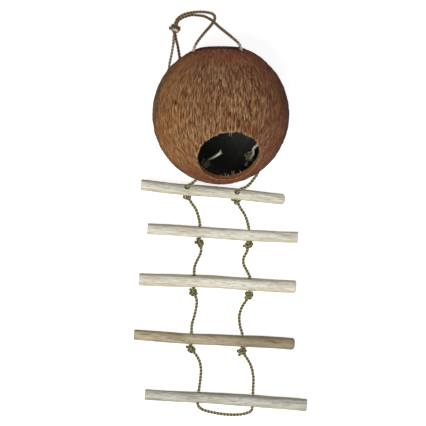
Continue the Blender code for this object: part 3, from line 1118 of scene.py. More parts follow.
    def _add_ends(
        self, rings: np.ndarray, faces: list[list[int]], count: int, seed: float
    ) -> tuple[np.ndarray, list[list[int]]]:
        """Close both ends with slightly uneven sawn faces.

        Args:
            rings: The side's vertices.
            faces: The side's faces.
            count: How many rings the side has.
            seed: The pattern's seed.

        Returns:
            The vertices and faces with both ends.
        """
        steps = 6
        parts = [rings]
        total = len(rings)
        for ring, outward in ((0, -1), (count - 1, 1)):
            edge = rings[ring * self.around : (ring + 1) * self.around]
            middle = edge.mean(0)
            previous = [ring * self.around + k for k in range(self.around)]
            for k in range(1, steps):
                inner = middle + (edge - middle) * (1 - k / steps)
                inner[:, 0] += 0.2 * MM * noise_at(inner, (1.4 * MM,) * 3, seed + ring)
                current = [total + n for n in range(self.around)]
                parts.append(inner)
                total += self.around
                for a in range(self.around):
                    b = (a + 1) % self.around
                    quad = [previous[a], previous[b], current[b], current[a]]
                    faces.append(quad[::-1] if outward < 0 else quad)
                previous = current
            parts.append(middle[None, :])
            for a in range(self.around):
                b = (a + 1) % self.around
                corner = [previous[a], previous[b], total]
                faces.append(corner[::-1] if outward < 0 else corner)
            total += 1
        return np.concatenate(parts), faces

    def _lift(self, made: bpy.types.Object) -> None:
        """Raise the stick's low places so that none is under the floor."""
        places = places_of(made)
        placed = np.array(made.matrix_world)
        world = places @ placed[:3, :3].T + placed[:3, 3]
        world[:, 2] = np.maximum(world[:, 2], 0.03 * MM)
        back = (world - placed[:3, 3]) @ placed[:3, :3]
        move_places(made, back)

    def _hole_cutter(self, side: Side) -> bpy.types.Object:
        """A rod that cuts one cross hole."""
        centre, radius, upward = self.hole(side)
        radii = np.full(CUTTER_FACETS, self.hole_diameter / 2)
        return rod(centre - upward * 2 * radius, upward, 4 * radius, radii)

    def _mark_cut_faces(self, made: bpy.types.Object) -> None:
        """Give the ends and the inside of the holes the second material."""
        placed = made.matrix_world.inverted()
        holes = []
        for side in Side:
            centre, _, upward = self.hole(side)
            holes.append((placed @ centre, placed.to_3x3() @ upward))
        for face in made.data.polygons:
            middle = face.center
            face.material_index = 0
            if abs(face.normal.x) > 0.8 and not 1 * MM < middle.x < self.length - 1 * MM:
                face.material_index = 1
            for centre, way in holes:
                away = middle - centre
                radial = away - way * away.dot(way)
                if radial.length < 0.53 * self.hole_diameter and abs(face.normal.dot(way)) < 0.3:
                    face.material_index = 1
        made.data.shade_smooth()
        made.data.set_sharp_from_angle(angle=SHARPEST_STICK)


# ---- Shell -----------------------------------------------------------------------------------


@dataclass
class CoconutShell:
    """The hollow shell under its trimmed husk, with its entrance and its cord holes."""

    radius: float = 62.5 * MM
    top_reach: float = 63.6 * MM
    bottom_reach: float = 64.3 * MM
    wall: float = 4.5 * MM
    sawn_top: float = 61.1 * MM
    centre_y: float = 108.6 * MM
    facet_share: float = math.cos(math.pi / 40) ** 2
    entrance_radius: float = 28.3 * MM
    entrance_rise: float = math.radians(45.5)
    entrance_turn: float = math.radians(10)
    hole_diameter: float = 4.6 * MM
    straight_run: float = 3.0 * MM
    stop_knot_gap: float = 1.0 * MM
    around: int = 640
    rings: int = 230
    skin_depth: float = 0.08 * MM
    strand_points: int = 8

    def __post_init__(self) -> None:
        """Place the shell and the axes of its holes."""
        self.centre = Vector((0, self.centre_y, self.radius * self.facet_share))
        self.eye = Vector((-41.3, 116.7)) * MM
        self.entrance_way = Vector(
            (
                math.sin(self.entrance_rise) * math.sin(self.entrance_turn),
                -math.cos(self.entrance_rise),
                math.sin(self.entrance_rise) * math.cos(self.entrance_turn),
            )
        )

    def bail_hole(self, row: str, side: Side) -> tuple[Vector, Vector]:
        """Where a bail hole meets the outer face, and the way out of it.

        Args:
            row: front or rear.
            side: Left or right.

        Returns:
            The mouth's centre and a unit vector.
        """
        turn, below, way = {
            ("front", Side.LEFT): (-57, 5.0, (0.05, 0.95, 0.30)),
            ("front", Side.RIGHT): (42, 4.1, (-0.15, 0.93, 0.35)),
            ("rear", Side.LEFT): (-140, 11.1, (-0.40, 0.78, -0.48)),
            ("rear", Side.RIGHT): (140, 11.1, (0.40, 0.78, -0.48)),
        }[row, side]
        along = self.sawn_top - below * MM
        radius = self.radius * math.sqrt(1 - (along / self.top_reach) ** 2)
        angle = math.radians(turn)
        place = Vector((radius * math.sin(angle), along, radius * math.cos(angle)))
        return self.centre + place, Vector(way).normalized()

    def ladder_hole(self, side: Side) -> tuple[Vector, Vector]:
        """Where a ladder hole meets the outer face, and its outward direction."""
        ways = {Side.LEFT: (-0.274, -0.822, -0.497), Side.RIGHT: (0.500, -0.700, -0.510)}
        way = Vector(ways[side]).normalized()
        across = math.hypot(way.x, way.z) / self.radius
        reach = 1 / math.hypot(across, way.y / self.bottom_reach)
        return self.centre + way * reach, way

    def stop_knot_centre(self, side: Side, knot_radius: float) -> Vector:
        """The centre of the knot that holds a ladder cord inside the shell."""
        mouth, outward = self.ladder_hole(side)
        return mouth - outward * (self.wall + self.stop_knot_gap + knot_radius)

    def _skin(
        self, inset: float, around: int, rings: int, top: Optional[float]
    ) -> bpy.types.Object:
        """A closed shell of revolution about the shell's axis.

        Args:
            inset: How far it is inside the outer face.
            around: Facets around.
            rings: Facets from pole to pole.
            top: Where it is sawn flat, from the centre, or None for a whole one.

        Returns:
            The closed mesh, with no material.
        """
        latitudes = np.linspace(-math.pi / 2, math.pi / 2, rings + 1)[1:-1]
        reach = np.where(latitudes > 0, self.top_reach, self.bottom_reach) - inset
        along = reach * np.sin(latitudes)
        radii = (self.radius - inset) * np.cos(latitudes)
        if top is not None:
            kept = along < top - 0.3 * MM
            end = (self.radius - inset) * math.sqrt(1 - (top / (self.top_reach - inset)) ** 2)
            inner = np.linspace(end, 0, 12)[:-1]
            along = np.concatenate([along[kept], np.full(len(inner), top)])
            radii = np.concatenate([radii[kept], inner])
            tip = top
        else:
            tip = self.top_reach - inset
        angles = angles_around(around)
        y, turn = np.meshgrid(along, angles, indexing="ij")
        ring = np.stack([radii[:, None] * np.sin(turn), y, radii[:, None] * np.cos(turn)], axis=2)
        count = len(along)
        places = np.concatenate(
            [ring.reshape(-1, 3), [[0, -(self.bottom_reach - inset), 0]], [[0, tip, 0]]]
        )
        faces = ring_faces(count, around, capped=False)
        low, high = count * around, count * around + 1
        for k in range(around):
            n = (k + 1) % around
            faces.append([n, k, low])
            faces.append([(count - 1) * around + k, (count - 1) * around + n, high])
        return new_piece("skin", places + np.array(self.centre), faces, [])

    def _entrance_cutter(self) -> bpy.types.Object:
        """A rod with a ragged outline, where the saw tore fibres out of the husk."""
        around = 300
        rng = random.Random(12)
        angles = angles_around(around)
        ring = np.stack([np.cos(angles), np.sin(angles), np.zeros(around)], axis=1)
        radii = self.entrance_radius + 0.35 * MM * noise_at(ring, (0.5, 0.5, 1), 4.0)
        radii += 0.18 * MM * noise_at(ring, (0.06, 0.06, 1), 8.0)
        for _ in range(30):
            place, depth = rng.uniform(0, 2 * math.pi), rng.uniform(-0.7, 1.3) * MM
            gap = np.abs((angles - place + math.pi) % (2 * math.pi) - math.pi)
            radii += depth * np.exp(-((gap / rng.uniform(0.02, 0.05)) ** 2))
        inside = self.centre + self.entrance_way * (self.radius / 2)
        return rod(inside, self.entrance_way, self.radius, radii)

    def _hole_cutters(self) -> list[bpy.types.Object]:
        """Rods that cut the six cord holes."""
        axes = [self.bail_hole(row, side) for row in ("front", "rear") for side in Side]
        axes += [self.ladder_hole(side) for side in Side]
        radii = np.full(CUTTER_FACETS, self.hole_diameter / 2)
        reach = self.wall + self.straight_run
        length = reach + self.straight_run
        return [rod(mouth - way * reach, way, length, radii) for mouth, way in axes]

    def fibre_places(self, places: np.ndarray) -> np.ndarray:
        """Where points are on the unrolled husk.

        Args:
            places: An n by 3 array, in metres.

        Returns:
            An n by 3 array in mm: across and up on a drum of the shell's radius, and the
            distance along the shell from its middle.
        """
        away = places - np.array(self.centre)
        across = np.hypot(away[:, 0], away[:, 2])
        safe = np.maximum(across, 1e-6)
        latitude = np.arctan2(away[:, 1], across)
        drum = self.radius / MM
        return np.stack(
            [away[:, 0] / safe * drum, away[:, 2] / safe * drum, latitude * drum], axis=1
        )

    def depth_of(self, places: np.ndarray) -> np.ndarray:
        """How far points are inside the outer face, measured towards the centre."""
        away = places - np.array(self.centre)
        reach = np.where(away[:, 1] > 0, self.top_reach, self.bottom_reach)
        x, y, z = away[:, 0] / self.radius, away[:, 1] / reach, away[:, 2] / self.radius
        level = np.sqrt(x**2 + z**2 + y**2)
        return (1 - level) * self.radius

    def _edge_share(self, places: np.ndarray) -> np.ndarray:
        """How near points are to the entrance's edge: 1 at the edge and 0 beyond 2 mm."""
        away = places - np.array(self.centre)
        way = np.array(self.entrance_way)
        reach = np.linalg.norm(np.cross(away, way), axis=1) - self.entrance_radius
        ragged = 1.6 * MM * noise_at(places, (2.2 * MM, 2.2 * MM, 2.2 * MM), 3.0)
        near = np.clip(1 - (reach - ragged) / (2.0 * MM), 0, 1)
        return near * ((away @ way) > 0)

    def _eye_share(self, places: np.ndarray) -> np.ndarray:
        """How near points are to the small dark eye: 1 in its middle, and nothing 5 mm away."""
        gap = np.hypot(places[:, 0] - self.eye.x, places[:, 1] - self.eye.y)
        return np.exp(-((gap / (2.3 * MM)) ** 2)) * (places[:, 2] > self.centre.z)

    def relief(self, places: np.ndarray) -> np.ndarray:
        """How far the husk stands off its mean face at points on it, in metres."""
        drum = self.fibre_places(places)
        strands = noise_at(drum, (1.6, 1.6, 7.5), 1.0)
        fine = noise_at(drum, (0.7, 0.7, 5.0), 5.0)
        slow = noise_at(drum, (11.0, 11.0, 16.0), 9.0)
        relief = 0.55 * strands + 0.2 * fine + 0.40 * slow - 1.2 * self._eye_share(places)
        return relief * MM

    def build(
        self,
        husk: bpy.types.Material,
        inside: bpy.types.Material,
        sawn: bpy.types.Material,
    ) -> bpy.types.Object:
        """The shell's mesh.

        Args:
            husk: The material of the outer face.
            inside: The material of the inner face.
            sawn: The material where a saw or a drill went through the wall.

        Returns:
            The shell, riding on nothing.
        """
        outer = self._skin(0, self.around, self.rings, self.sawn_top)
        outer.name = "shell_with_husk"
        cavity = self._skin(self.wall, 128, 64, None)
        cut_with(outer, [cavity, self._entrance_cutter(), *self._hole_cutters()])
        for material in (husk, inside, sawn):
            outer.data.materials.append(material)
        places = places_of(outer)
        depth = self.depth_of(places)
        top = places[:, 1] - self.centre.y > self.sawn_top - 0.05 * MM
        skin = (depth < self.skin_depth) & ~top
        away = places - np.array(self.centre)
        outward = unit_rows(away)
        shift = np.zeros(len(places))
        shift[skin] = self.relief(places[skin])
        moved = places + outward * shift[:, None]
        moved[:, 2] = np.maximum(moved[:, 2], 0.02 * MM)
        add_values(outer, "fibre_place", self.fibre_places(places))
        add_values(outer, "edge", self._edge_share(places))
        add_values(outer, "eye", self._eye_share(places))
        self._assign(outer, places)
        move_places(outer, moved)
        outer.data.shade_smooth()
        outer.data.set_sharp_from_angle(angle=SHARPEST_SHELL)
        return outer

    def _assign(self, shell: bpy.types.Object, places: np.ndarray) -> None:
        """Give each face the material of the skin that all its corners lie on."""
        depth = self.depth_of(places)
        above = places[:, 1] - self.centre.y
        for face in shell.data.polygons:
            corners = list(face.vertices)
            if all(above[k] > self.sawn_top - 0.05 * MM for k in corners):
                face.material_index = 2
            elif all(depth[k] < self.skin_depth for k in corners):
                face.material_index = 0
            elif all(depth[k] > self.wall - 0.35 * MM for k in corners):
                face.material_index = 1
            else:
                face.material_index = 2

    def _surface_path(self, latitude: float, turn: float, span: float, drift: float) -> np.ndarray:
        """Points on the outer face along a meridian.

        Args:
            latitude: Where it starts, from the middle, in radians.
            turn: Where it is around the shell, in radians.
            span: How far it runs, in radians.
            drift: How far it strays sideways, in radians.

        Returns:
            An n by 3 array.
        """
        t = np.linspace(0, 1, self.strand_points)
        angles = latitude + span * t
        turns = turn + drift * np.sin(t * 3.0)
        reach = np.where(angles > 0, self.top_reach, self.bottom_reach)
        radii = self.radius * np.cos(angles)
        rows = [radii * np.sin(turns), reach * np.sin(angles), radii * np.cos(turns)]
        local = np.stack(rows, axis=1)
        return local + np.array(self.centre)

    def _paleness_and_shade(self, away_mm: np.ndarray) -> float:
        """A fibre's paleness, with painted shade, from its place about the shell's centre in mm."""
        # Darker towards the stem and the tip; painted shade low on the flanks, just under the sawn
        # top and, partly, on the right side.
        low = np.clip((30.0 - away_mm[2]) / 24.0, 0, 1)
        right = np.clip((away_mm[0] - 16.0) / 40.0, 0, 1)
        stem = np.clip((away_mm[1] - 26.0) / 28.0, 0, 1)
        tip = np.clip((-away_mm[1] - 40.0) / 16.0, 0, 1)
        rim = np.clip((away_mm[1] - 53.0) / 3.0, 0, 1)
        shade = (1 - 0.6 * low) * (1 - 0.5 * right) * (1 - 0.5 * stem) * (1 - 0.5 * tip)
        return float(shade * (1 - rim))

    def strands(self, finish: bpy.types.Material, count: int = 5200) -> bpy.types.Object:
        """Single coir fibres that lie on the husk and lift off it at one end.

        Args:
            finish: The material of the fibres.
            count: How many are tried. Those over a hole or under the shell are left out.

        Returns:
            The fibres as one mesh.
        """
        rng = random.Random(77)
        hairs, radii, shades = [], [], []
        top = math.asin(self.sawn_top / self.top_reach)
        for _ in range(count):
            latitude = math.asin(rng.uniform(-0.985, 0.93))
            turn = rng.uniform(-math.pi, math.pi)
            span = rng.uniform(3.5, 11) * MM / self.radius
            if latitude + span > top - 0.03:
                continue
            drift = rng.gauss(0, 0.016) / max(math.cos(latitude), 0.25)
            path = self._surface_path(latitude, turn, span, drift)
            away = path - np.array(self.centre)
            beside = np.cross(away, np.array(self.entrance_way))
            near = (np.linalg.norm(beside, axis=1) < self.entrance_radius + 0.6 * MM) & (
                away @ np.array(self.entrance_way) > 0
            )
            if near.any() or path[:, 2].min() < 2.5 * MM or self._eye_share(path).max() > 0.2:
                continue
            curl = rng.uniform(0, 0.35) * np.linspace(0, 1, self.strand_points) ** 2
            lift = self.relief(path) + (0.12 + curl) * MM
            hairs.append(path + unit_rows(away) * lift[:, None])
            radii.append(rng.uniform(0.10, 0.26) * MM)
            shades.append(rng.random() * self._paleness_and_shade(away[4] / MM))
        return fibre_piece("husk_strands", hairs, radii, shades, finish)

    def rim_fibres(self, finish: bpy.types.Material, count: int = 150) -> bpy.types.Object:
        """Torn fibres that stick out of the entrance's cut edge.

        Args:
            finish: The material of the fibres.
            count: How many there are.

        Returns:
            The fibres as one mesh.
        """
        rng = random.Random(31)
        turn = frame_along(self.entrance_way).to_3x3()
        long_turns = (1.36, 1.42, 4.52, 4.60, 4.74, 4.80, 5.02)
        hairs, radii, shades = [], [], []
        for k in range(count):
            long = k < len(long_turns)
            angle = long_turns[k] if long else rng.uniform(0, 2 * math.pi)
            across = turn @ Vector((0, math.cos(angle), math.sin(angle)))
            root = across * (self.entrance_radius + 0.8 * MM)
            rise = math.sqrt(max(self.radius**2 - root.length**2, 0)) - rng.uniform(0.3, 3.0) * MM
            start = self.centre + root + self.entrance_way * rise
            meridian = Vector((0, 1, 0)) * (1 if across.y < 0 else -1)
            rising = self.entrance_way * rng.uniform(-0.2, 0.5)
            way = (-across * 0.7 + meridian * 0.6 + rising).normalized()
            length = (5.0 if long else rng.choice((1.0, 1.5, 2.0))) * rng.uniform(0.8, 1.1) * MM
            bend = Vector([rng.uniform(-0.4, 0.4) for _ in range(3)])
            steps = np.linspace(0, 1, 5)
            path = [tuple(start + way * length * s + bend * length * s * s) for s in steps]
            hairs.append(np.array(path))
            radii.append(rng.uniform(0.10, 0.22) * MM * (1.6 if long else 1))
            shades.append(1.0 if long else rng.random())
        return fibre_piece("entrance_fibres", hairs, radii, shades, finish)


# ---- Ladder and bail -------------------------------------------------------------------------


@dataclass
class Ladder:
    """The stick ladder: five rungs on one cord, knotted under each rung but the last."""

    shell: CoconutShell
    maker: CordMaker
    knot_radius: float = 4.3 * MM
    knot_look: float = 5.5 * MM

    spans_mm: ClassVar[dict[tuple[Side, int], list[Point]]] = {
        (Side.LEFT, 1): [
            (-20.4, 51.6, 27.4), (-23.6, 48.2, 25.8), (-27.0, 45.4, 24.8), (-30.0, 44.0, 23.0),
        ],
        (Side.RIGHT, 1): [
            (35.0, 58.6, 25.8), (34.4, 54.2, 24.0), (31.4, 50.0, 23.8),
            (28.2, 45.8, 24.4), (24.0, 42.2, 24.7), (18.8, 40.2, 23.2),
        ],
        (Side.LEFT, 2): [(-27.8, 27.6, 2.4), (-23.6, 21.5, 1.7), (-20.7, 13.4, 2.0)],
        (Side.RIGHT, 2): [(18.4, 23.0, 2.4), (22.3, 17.2, 1.7), (25.1, 10.6, 2.2)],
        (Side.LEFT, 3): [
            (-18.4, -16.0, 2.6), (-19.2, -21.5, 1.7), (-22.6, -28.2, 1.7), (-24.6, -34.0, 3.4),
        ],
        (Side.RIGHT, 3): [
            (25.0, -19.0, 2.4), (21.9, -25.0, 1.7), (22.0, -31.0, 1.7), (24.8, -36.6, 3.8),
        ],
        (Side.LEFT, 4): [
            (-22.8, -63.8, 2.4), (-22.7, -70.0, 1.7), (-24.8, -79.9, 1.7), (-27.0, -87.6, 2.6),
        ],
        (Side.RIGHT, 4): [
            (23.8, -66.0, 2.4), (20.2, -71.8, 1.7), (17.8, -79.9, 1.7), (18.4, -89.0, 2.6),
        ],
        (Side.LEFT, 5): [
            (-23.2, -116.8, 2.4), (-19.9, -123.0, 1.7), (-18.5, -131.1, 1.7), (-19.3, -141.8, 2.4),
        ],
        (Side.RIGHT, 5): [
            (25.4, -120.6, 2.4), (29.2, -128.3, 1.7), (31.1, -137.7, 1.7), (31.0, -146.0, 2.6),
        ],
    }
    loop_mm: ClassVar[list[Point]] = [
        (-17.6, -168.3, 2.3), (-8.0, -171.2, 1.7), (6.0, -173.3, 1.7),
        (19.0, -173.2, 1.7), (27.2, -171.0, 2.3),
    ]
    tails_mm: ClassVar[dict[Side, list[Point]]] = {
        Side.LEFT: [
            (-14.0, 66.0, 40.0), (-10.4, 67.6, 52.0), (-6.0, 69.4, 60.5), (-0.8, 72.6, 66.0),
        ],
        Side.RIGHT: [
            (27.2, 66.6, 40.0), (27.9, 69.2, 50.0), (30.4, 72.8, 56.5),
            (29.9, 76.5, 60.5), (33.8, 80.6, 64.0),
        ],
    }
    tail_ways: ClassVar[dict[Side, Point]] = {
        Side.LEFT: (0.8, 0.6, 0.1),
        Side.RIGHT: (0.5, 0.8, 0.0),
    }
    tufts_mm: ClassVar[dict[Side, Point]] = {
        Side.LEFT: (-15.6, 60.6, 42.0),
        Side.RIGHT: (22.6, 62.0, 50.0),
    }
    fading_mm: ClassVar[dict[Side, float]] = {Side.LEFT: 24.0, Side.RIGHT: 12.0}

    def __post_init__(self) -> None:
        """Place the five sticks."""
        self.sticks = [
            Stick(
                1, (-74.9, 44.1), (60.8, 30.9), (5.3, 5.2), (-24.6, 22.6), (0.5, 3.6), ride_deg=62
            ),
            Stick(2, (-69.1, 2.3), (73.2, -5.4), (5.3, 5.4), (-21.7, 24.6), (0.5, 0.5)),
            Stick(3, (-77.0, -44.4), (71.4, -51.7), (6.0, 6.1), (-22.4, 30.4), (0.6, 2.0)),
            Stick(
                4, (-81.8, -97.7), (70.2, -106.4), (4.9, 5.7), (-21.9, 26.4), (0.6, 3.2),
                Wood.PEELED,
            ),
            Stick(
                5, (-71.5, -153.5), (81.7, -163.7), (5.1, 6.0), (-26.2, 25.2), (0.5, 0.6),
                Wood.STAINED, knot_radius=0,
            ),
        ]

    def _span_points(self, side: Side, number: int) -> list[Vector]:
        """The points of one stretch of cord, from the knot above to the knot below."""
        stick = self.sticks[number - 1]
        route = vectors(self.spans_mm[side, number])
        if number == 1:
            mouth, outward = self.shell.ladder_hole(side)
            stop = self.shell.stop_knot_centre(side, self.knot_radius)
            start = [stop, mouth, mouth + outward * self.shell.straight_run]
        else:
            start = [self.sticks[number - 2].knot_centre(side)]
        centre, radius, upward = stick.hole(side)
        upper = centre + upward * radius
        if number == len(self.sticks):
            return [*start, *route, upper, centre]
        return [*start, *route, upper, centre - upward * radius, stick.knot_centre(side)]

    def build_cords(self) -> None:
        """Make every stretch of the ladder's cord, with its knots."""
        for side in Side:
            knot_above = self._stop_knot(side)
            for number, stick in enumerate(self.sticks, 1):
                knot_below = self._rung_knot(side, stick)
                self._span(side, number)
                knot_above = knot_below
        self._bottom_loop()

    def _span(self, side: Side, number: int) -> None:
        """Make one stretch of cord between two rungs, or from the shell to the first."""
        points = self._span_points(side, number)
        path = smooth_path(points, self.maker.ring_spacing)
        node = f"ladder_cord_{side.value}_{number}"
        fading = self.fading_mm[side] * MM if number == 1 else 0.0
        cord = self.maker.tube(f"cord_{side.value}_{number}", path, pale_ends=(fading, 0.0))
        fibres = self.maker.fibres(f"cord_fibres_{side.value}_{number}", path)
        for piece in (cord, fibres):
            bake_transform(piece)
        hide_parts(node)
        log.info("%s: %.0f mm of cord", cord.name, path_length(path) / MM)

    def _stop_knot(self, side: Side) -> bpy.types.Object:
        """The knot inside the shell, with its cut end."""
        centre = self.shell.stop_knot_centre(side, self.knot_radius)
        _, outward = self.shell.ladder_hole(side)
        name = f"stop_knot_look_{side.value}"
        knot = self.maker.overhand_knot(name, centre, outward, self.knot_look, 0.4, (0.2, 0.0))
        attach(knot, "shell")
        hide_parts(f"stop_knot_{side.value}")
        points = vectors(self.tails_mm[side])
        way = Vector(self.tail_ways[side])
        path = smooth_path(points, self.maker.ring_spacing)
        whitened = (0.0, 1.6 * path_length(path))
        name = f"stop_tail_{side.value}"
        thin = self.maker.tail_share * self.maker.diameter
        tail = self.maker.tube(name, path, thin, pale_ends=whitened)
        fray = self.maker.frayed_end(f"stop_tail_fray_{side.value}", points[-1], way, 3.0 * MM, 12)
        root = Vector(self.tufts_mm[side]) * MM
        name = f"stop_tuft_{side.value}"
        tuft = self.maker.frayed_end(name, root, Vector((0.2, 0.3, 1)), 4.2 * MM, 28)
        for piece in (tail, fray, tuft):
            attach(piece, "shell")
        return knot

    def _rung_knot(self, side: Side, stick: Stick) -> Optional[bpy.types.Object]:
        """The knot under one of a rung's holes, or None under the last rung."""
        if stick.knot_radius == 0:
            return None
        centre = stick.knot_centre(side)
        _, _, upward = stick.hole(side)
        lean = 0.9 if side is Side.LEFT else -0.7
        axis = upward + Vector((lean, 0, 0.5))
        name = f"knot_{side.value}_{stick.number}"
        knot = self.maker.overhand_knot(name, centre, axis, self.knot_look, 0.7 * stick.number)
        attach(knot, stick.body)
        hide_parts(f"rung_{stick.number}_knot_{side.value}")
        return knot

    def _bottom_loop(self) -> None:
        """Make the cord that runs under the last rung from one hole to the other."""
        stick = self.sticks[-1]
        ends = {}
        for side in Side:
            centre, radius, upward = stick.hole(side)
            ends[side] = [centre, centre - upward * (radius + self.maker.diameter / 2)]
        points = [*ends[Side.LEFT], *vectors(self.loop_mm), *ends[Side.RIGHT][::-1]]
        path = smooth_path(points, self.maker.ring_spacing)
        cord = self.maker.tube("cord_bottom_loop", path)
        fibres = self.maker.fibres("cord_fibres_bottom_loop", path)
        for piece in (cord, fibres):
            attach(piece, stick.body)
        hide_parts("bottom_loop")
        log.info("%s: %.0f mm of cord", cord.name, path_length(path) / MM)

    def build_sticks(self) -> None:
        """Make the five rungs and put them in place of the plain ones."""
        finishes = {
            Wood.WEATHERED: StickWood(
                "weathered_stick", light="#e9e6dc", middle="#c8c3b4", line="#8c846e",
                stain="#a89674", bark="#d0c49c", grey_and_edge_shade="#857d62",
            ).make(),
            Wood.PEELED: StickWood(
                "peeled_stick", light="#c0b49c", middle="#9d9178", line="#6f644c",
                stain="#6b4526", bark="#a8966c", grey_and_edge_shade="#6a5f45", stain_share=0.7, worn_share=0.5,
            ).make(),
            Wood.STAINED: StickWood(
                "stained_stick", light="#c9c8c0", middle="#a4a297", line="#77725f",
                stain="#6b5232", bark="#b3a883", grey_and_edge_shade="#6f6a52", stain_share=0.5,
            ).make(),
        }
        ends = {
            Wood.WEATHERED: SawnStick("weathered_end_grain", "#b9ae93", "#776a50").make(),
            Wood.PEELED: SawnStick("peeled_end_grain", "#a08e6d", "#6a563a").make(),
            Wood.STAINED: SawnStick("stained_end_grain", "#a79c82", "#6f634a").make(),
        }
        for stick in self.sticks:
            made = stick.build(finishes[stick.wood], ends[stick.wood])
            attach(made, stick.body)
            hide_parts(f"rung_{stick.number}")
            log.info("%s: %.0f mm long", made.name, stick.length / MM)


@dataclass
class Bail:
    """The hanging bail: two cords through the shell, brought together in one knot."""

    shell: CoconutShell
    maker: CordMaker
    knot_centre: Point = (-43.2, 192.1, 5.2)
    pulled_share: float = 0.93
    knot_look: float = 6.2 * MM

    front_mm: ClassVar[dict[Side, list[Point]]] = {
        Side.LEFT: [
            (-41.6, 200.0, 6.8), (-35.4, 205.1, 5.3), (-27.5, 207.3, 5.2), (-20.0, 207.9, 6.8),
            (-13.6, 207.3, 10.2), (-8.2, 205.3, 17.4), (-5.4, 201.3, 28.6), (-6.2, 196.0, 42.0),
            (-9.6, 189.8, 57.0), (-14.2, 183.4, 69.2), (-18.8, 177.2, 76.6), (-22.4, 171.8, 79.4),
        ],
        Side.RIGHT: [
            (-39.8, 199.8, 1.8), (-34.4, 203.3, 1.8), (-27.0, 205.2, 1.8), (-21.0, 204.9, 3.2),
            (-16.2, 203.8, 8.2), (-11.5, 201.0, 17.4), (-6.7, 196.5, 30.4), (-1.2, 189.8, 48.5),
            (5.2, 183.0, 67.0), (10.8, 177.4, 79.2), (15.6, 172.6, 83.8),
        ],
    }
    inner_mm: ClassVar[dict[Side, list[Point]]] = {
        Side.LEFT: [(-18.5, 150.6, 66.0), (-18.0, 148.6, 54.0), (-19.2, 149.2, 43.0)],
        Side.RIGHT: [(14.0, 151.6, 71.0), (14.0, 148.6, 58.0), (17.0, 148.8, 45.0)],
    }
    rear_mm: ClassVar[dict[Side, list[Point]]] = {
        Side.LEFT: [
            (-28.4, 163.6, 26.8), (-30.8, 162.2, 22.2), (-32.8, 158.0, 15.8), (-33.8, 152.0, 9.2),
            (-35.8, 145.6, 4.4), (-40.0, 141.0, 2.0), (-45.2, 141.4, 1.7), (-48.4, 146.8, 1.7),
            (-48.9, 153.5, 1.7), (-48.0, 160.5, 1.7), (-46.4, 168.0, 1.7), (-45.2, 175.0, 1.7),
            (-44.5, 180.4, 1.7), (-44.4, 184.9, 1.8),
        ],
        Side.RIGHT: [
            (28.4, 163.4, 27.0), (30.0, 161.0, 21.0), (26.6, 156.0, 13.0), (17.6, 150.4, 6.2),
            (4.0, 145.5, 2.2), (-12.0, 143.5, 1.7), (-26.0, 146.5, 1.7), (-34.5, 154.0, 1.7),
            (-38.0, 162.5, 1.7), (-39.4, 169.5, 1.8), (-40.6, 176.0, 3.2), (-42.0, 181.6, 7.0),
        ],
    }

    def build_cords(self) -> None:
        """Make both cords of the bail, with their knot."""
        centre = Vector(self.knot_centre) * MM
        axis = Vector((0.3, 1.0, 0.5))
        shades = (0.0, 0.6)
        knot = self.maker.overhand_knot("bail_end_knot", centre, axis, self.knot_look, 0.5, shades)
        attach(knot, "bail_end")
        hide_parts("bail_knot")
        ends = self._cut_ends(centre)
        for side in Side:
            self._front(side, centre)
            self._inner(side)
            self._rear(side, centre)

    def _cut_ends(self, centre: Vector) -> list[bpy.types.Object]:
        """The two short cut ends that stick out of the knot."""
        made = []
        places = (
            ((-2.4, -1.6, 0.5), (-4.2, -0.4, 1.0), (-4.8, 1.8, 0.6)),
            ((2.6, -2.6, 3.0), (1.0, -1.8, 4.8), (-0.6, -1.4, 5.2)),
        )
        for number, offsets in enumerate(places, 1):
            points = [centre + Vector(offset) * MM for offset in offsets]
            path = smooth_path(points, self.maker.ring_spacing)
            thin = self.maker.tail_share * self.maker.diameter
            tail = self.maker.tube(f"bail_tail_{number}", path, thin, pale=0.85)
            way = points[-1] - points[-2]
            fray = self.maker.frayed_end(f"bail_tail_fray_{number}", points[-1], way, 1.8 * MM, 12)
            made += [tail, fray]
        for piece in made:
            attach(piece, "bail_end")
        return made

    def _wall_middle(self, row: str, side: Side) -> list[Vector]:
        """The straight run through a hole, from outside to inside, split at the wall's middle."""
        mouth, outward = self.shell.bail_hole(row, side)
        inner = mouth - outward * self.shell.wall
        run = outward * self.shell.straight_run
        return [mouth + run, mouth, (mouth + inner) / 2, inner, inner - run]

    def _declare(
        self,
        name: str,
        node: str,
        points: list[Vector],
        blend: Optional[tuple[Vector, Vector]],
        pale_ends: tuple[float, float] = (0.0, 0.0),
        shades: tuple[float, float] = (0.0, 0.6),
    ) -> None:
        """Make one stretch of the bail's cord, hide the CAD node that it stands for and log its
        length.

        Args:
            name: The stretch's name.
            node: The CAD node that it stands for.
            points: The points that it passes through, from its exit to its far end.
            blend: Where it starts to leave the shell and where it is wholly with the knot, or None.
            Only whether it is given is read: with it the stretch stays in the world's frame, and
            without it the stretch rides on the shell.
            pale_ends: How much of it is straw-coloured at its start and end, in metres.
            shades: How straw-coloured and how brown the whole of it is, from 0 to 1.
        """
        path = smooth_path(points, self.maker.ring_spacing)
        pulled = self.pulled_share * self.maker.diameter
        cord = self.maker.tube(name, path, pulled, pale_ends, *shades)
        fibres = self.maker.fibres(name.replace("bail", "bail_fibres"), path)
        for piece in (cord, fibres):
            if blend:
                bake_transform(piece)
            else:
                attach(piece, "shell")
        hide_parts(node)
        log.info("%s: %.0f mm of cord", name, path_length(path) / MM)

    def _front(self, side: Side, centre: Vector) -> None:
        """The strand from a front hole over the sawn top and down to the knot."""
        wall = self._wall_middle("front", side)
        route = vectors(self.front_mm[side])[::-1]
        points = [wall[2], wall[1], wall[0], *route, centre]
        node = f"bail_cord_{side.value}"
        name = f"bail_front_{side.value}"
        pale_ends = (11 * MM, 0.0)
        self._declare(name, node, points, (route[0], centre), pale_ends)

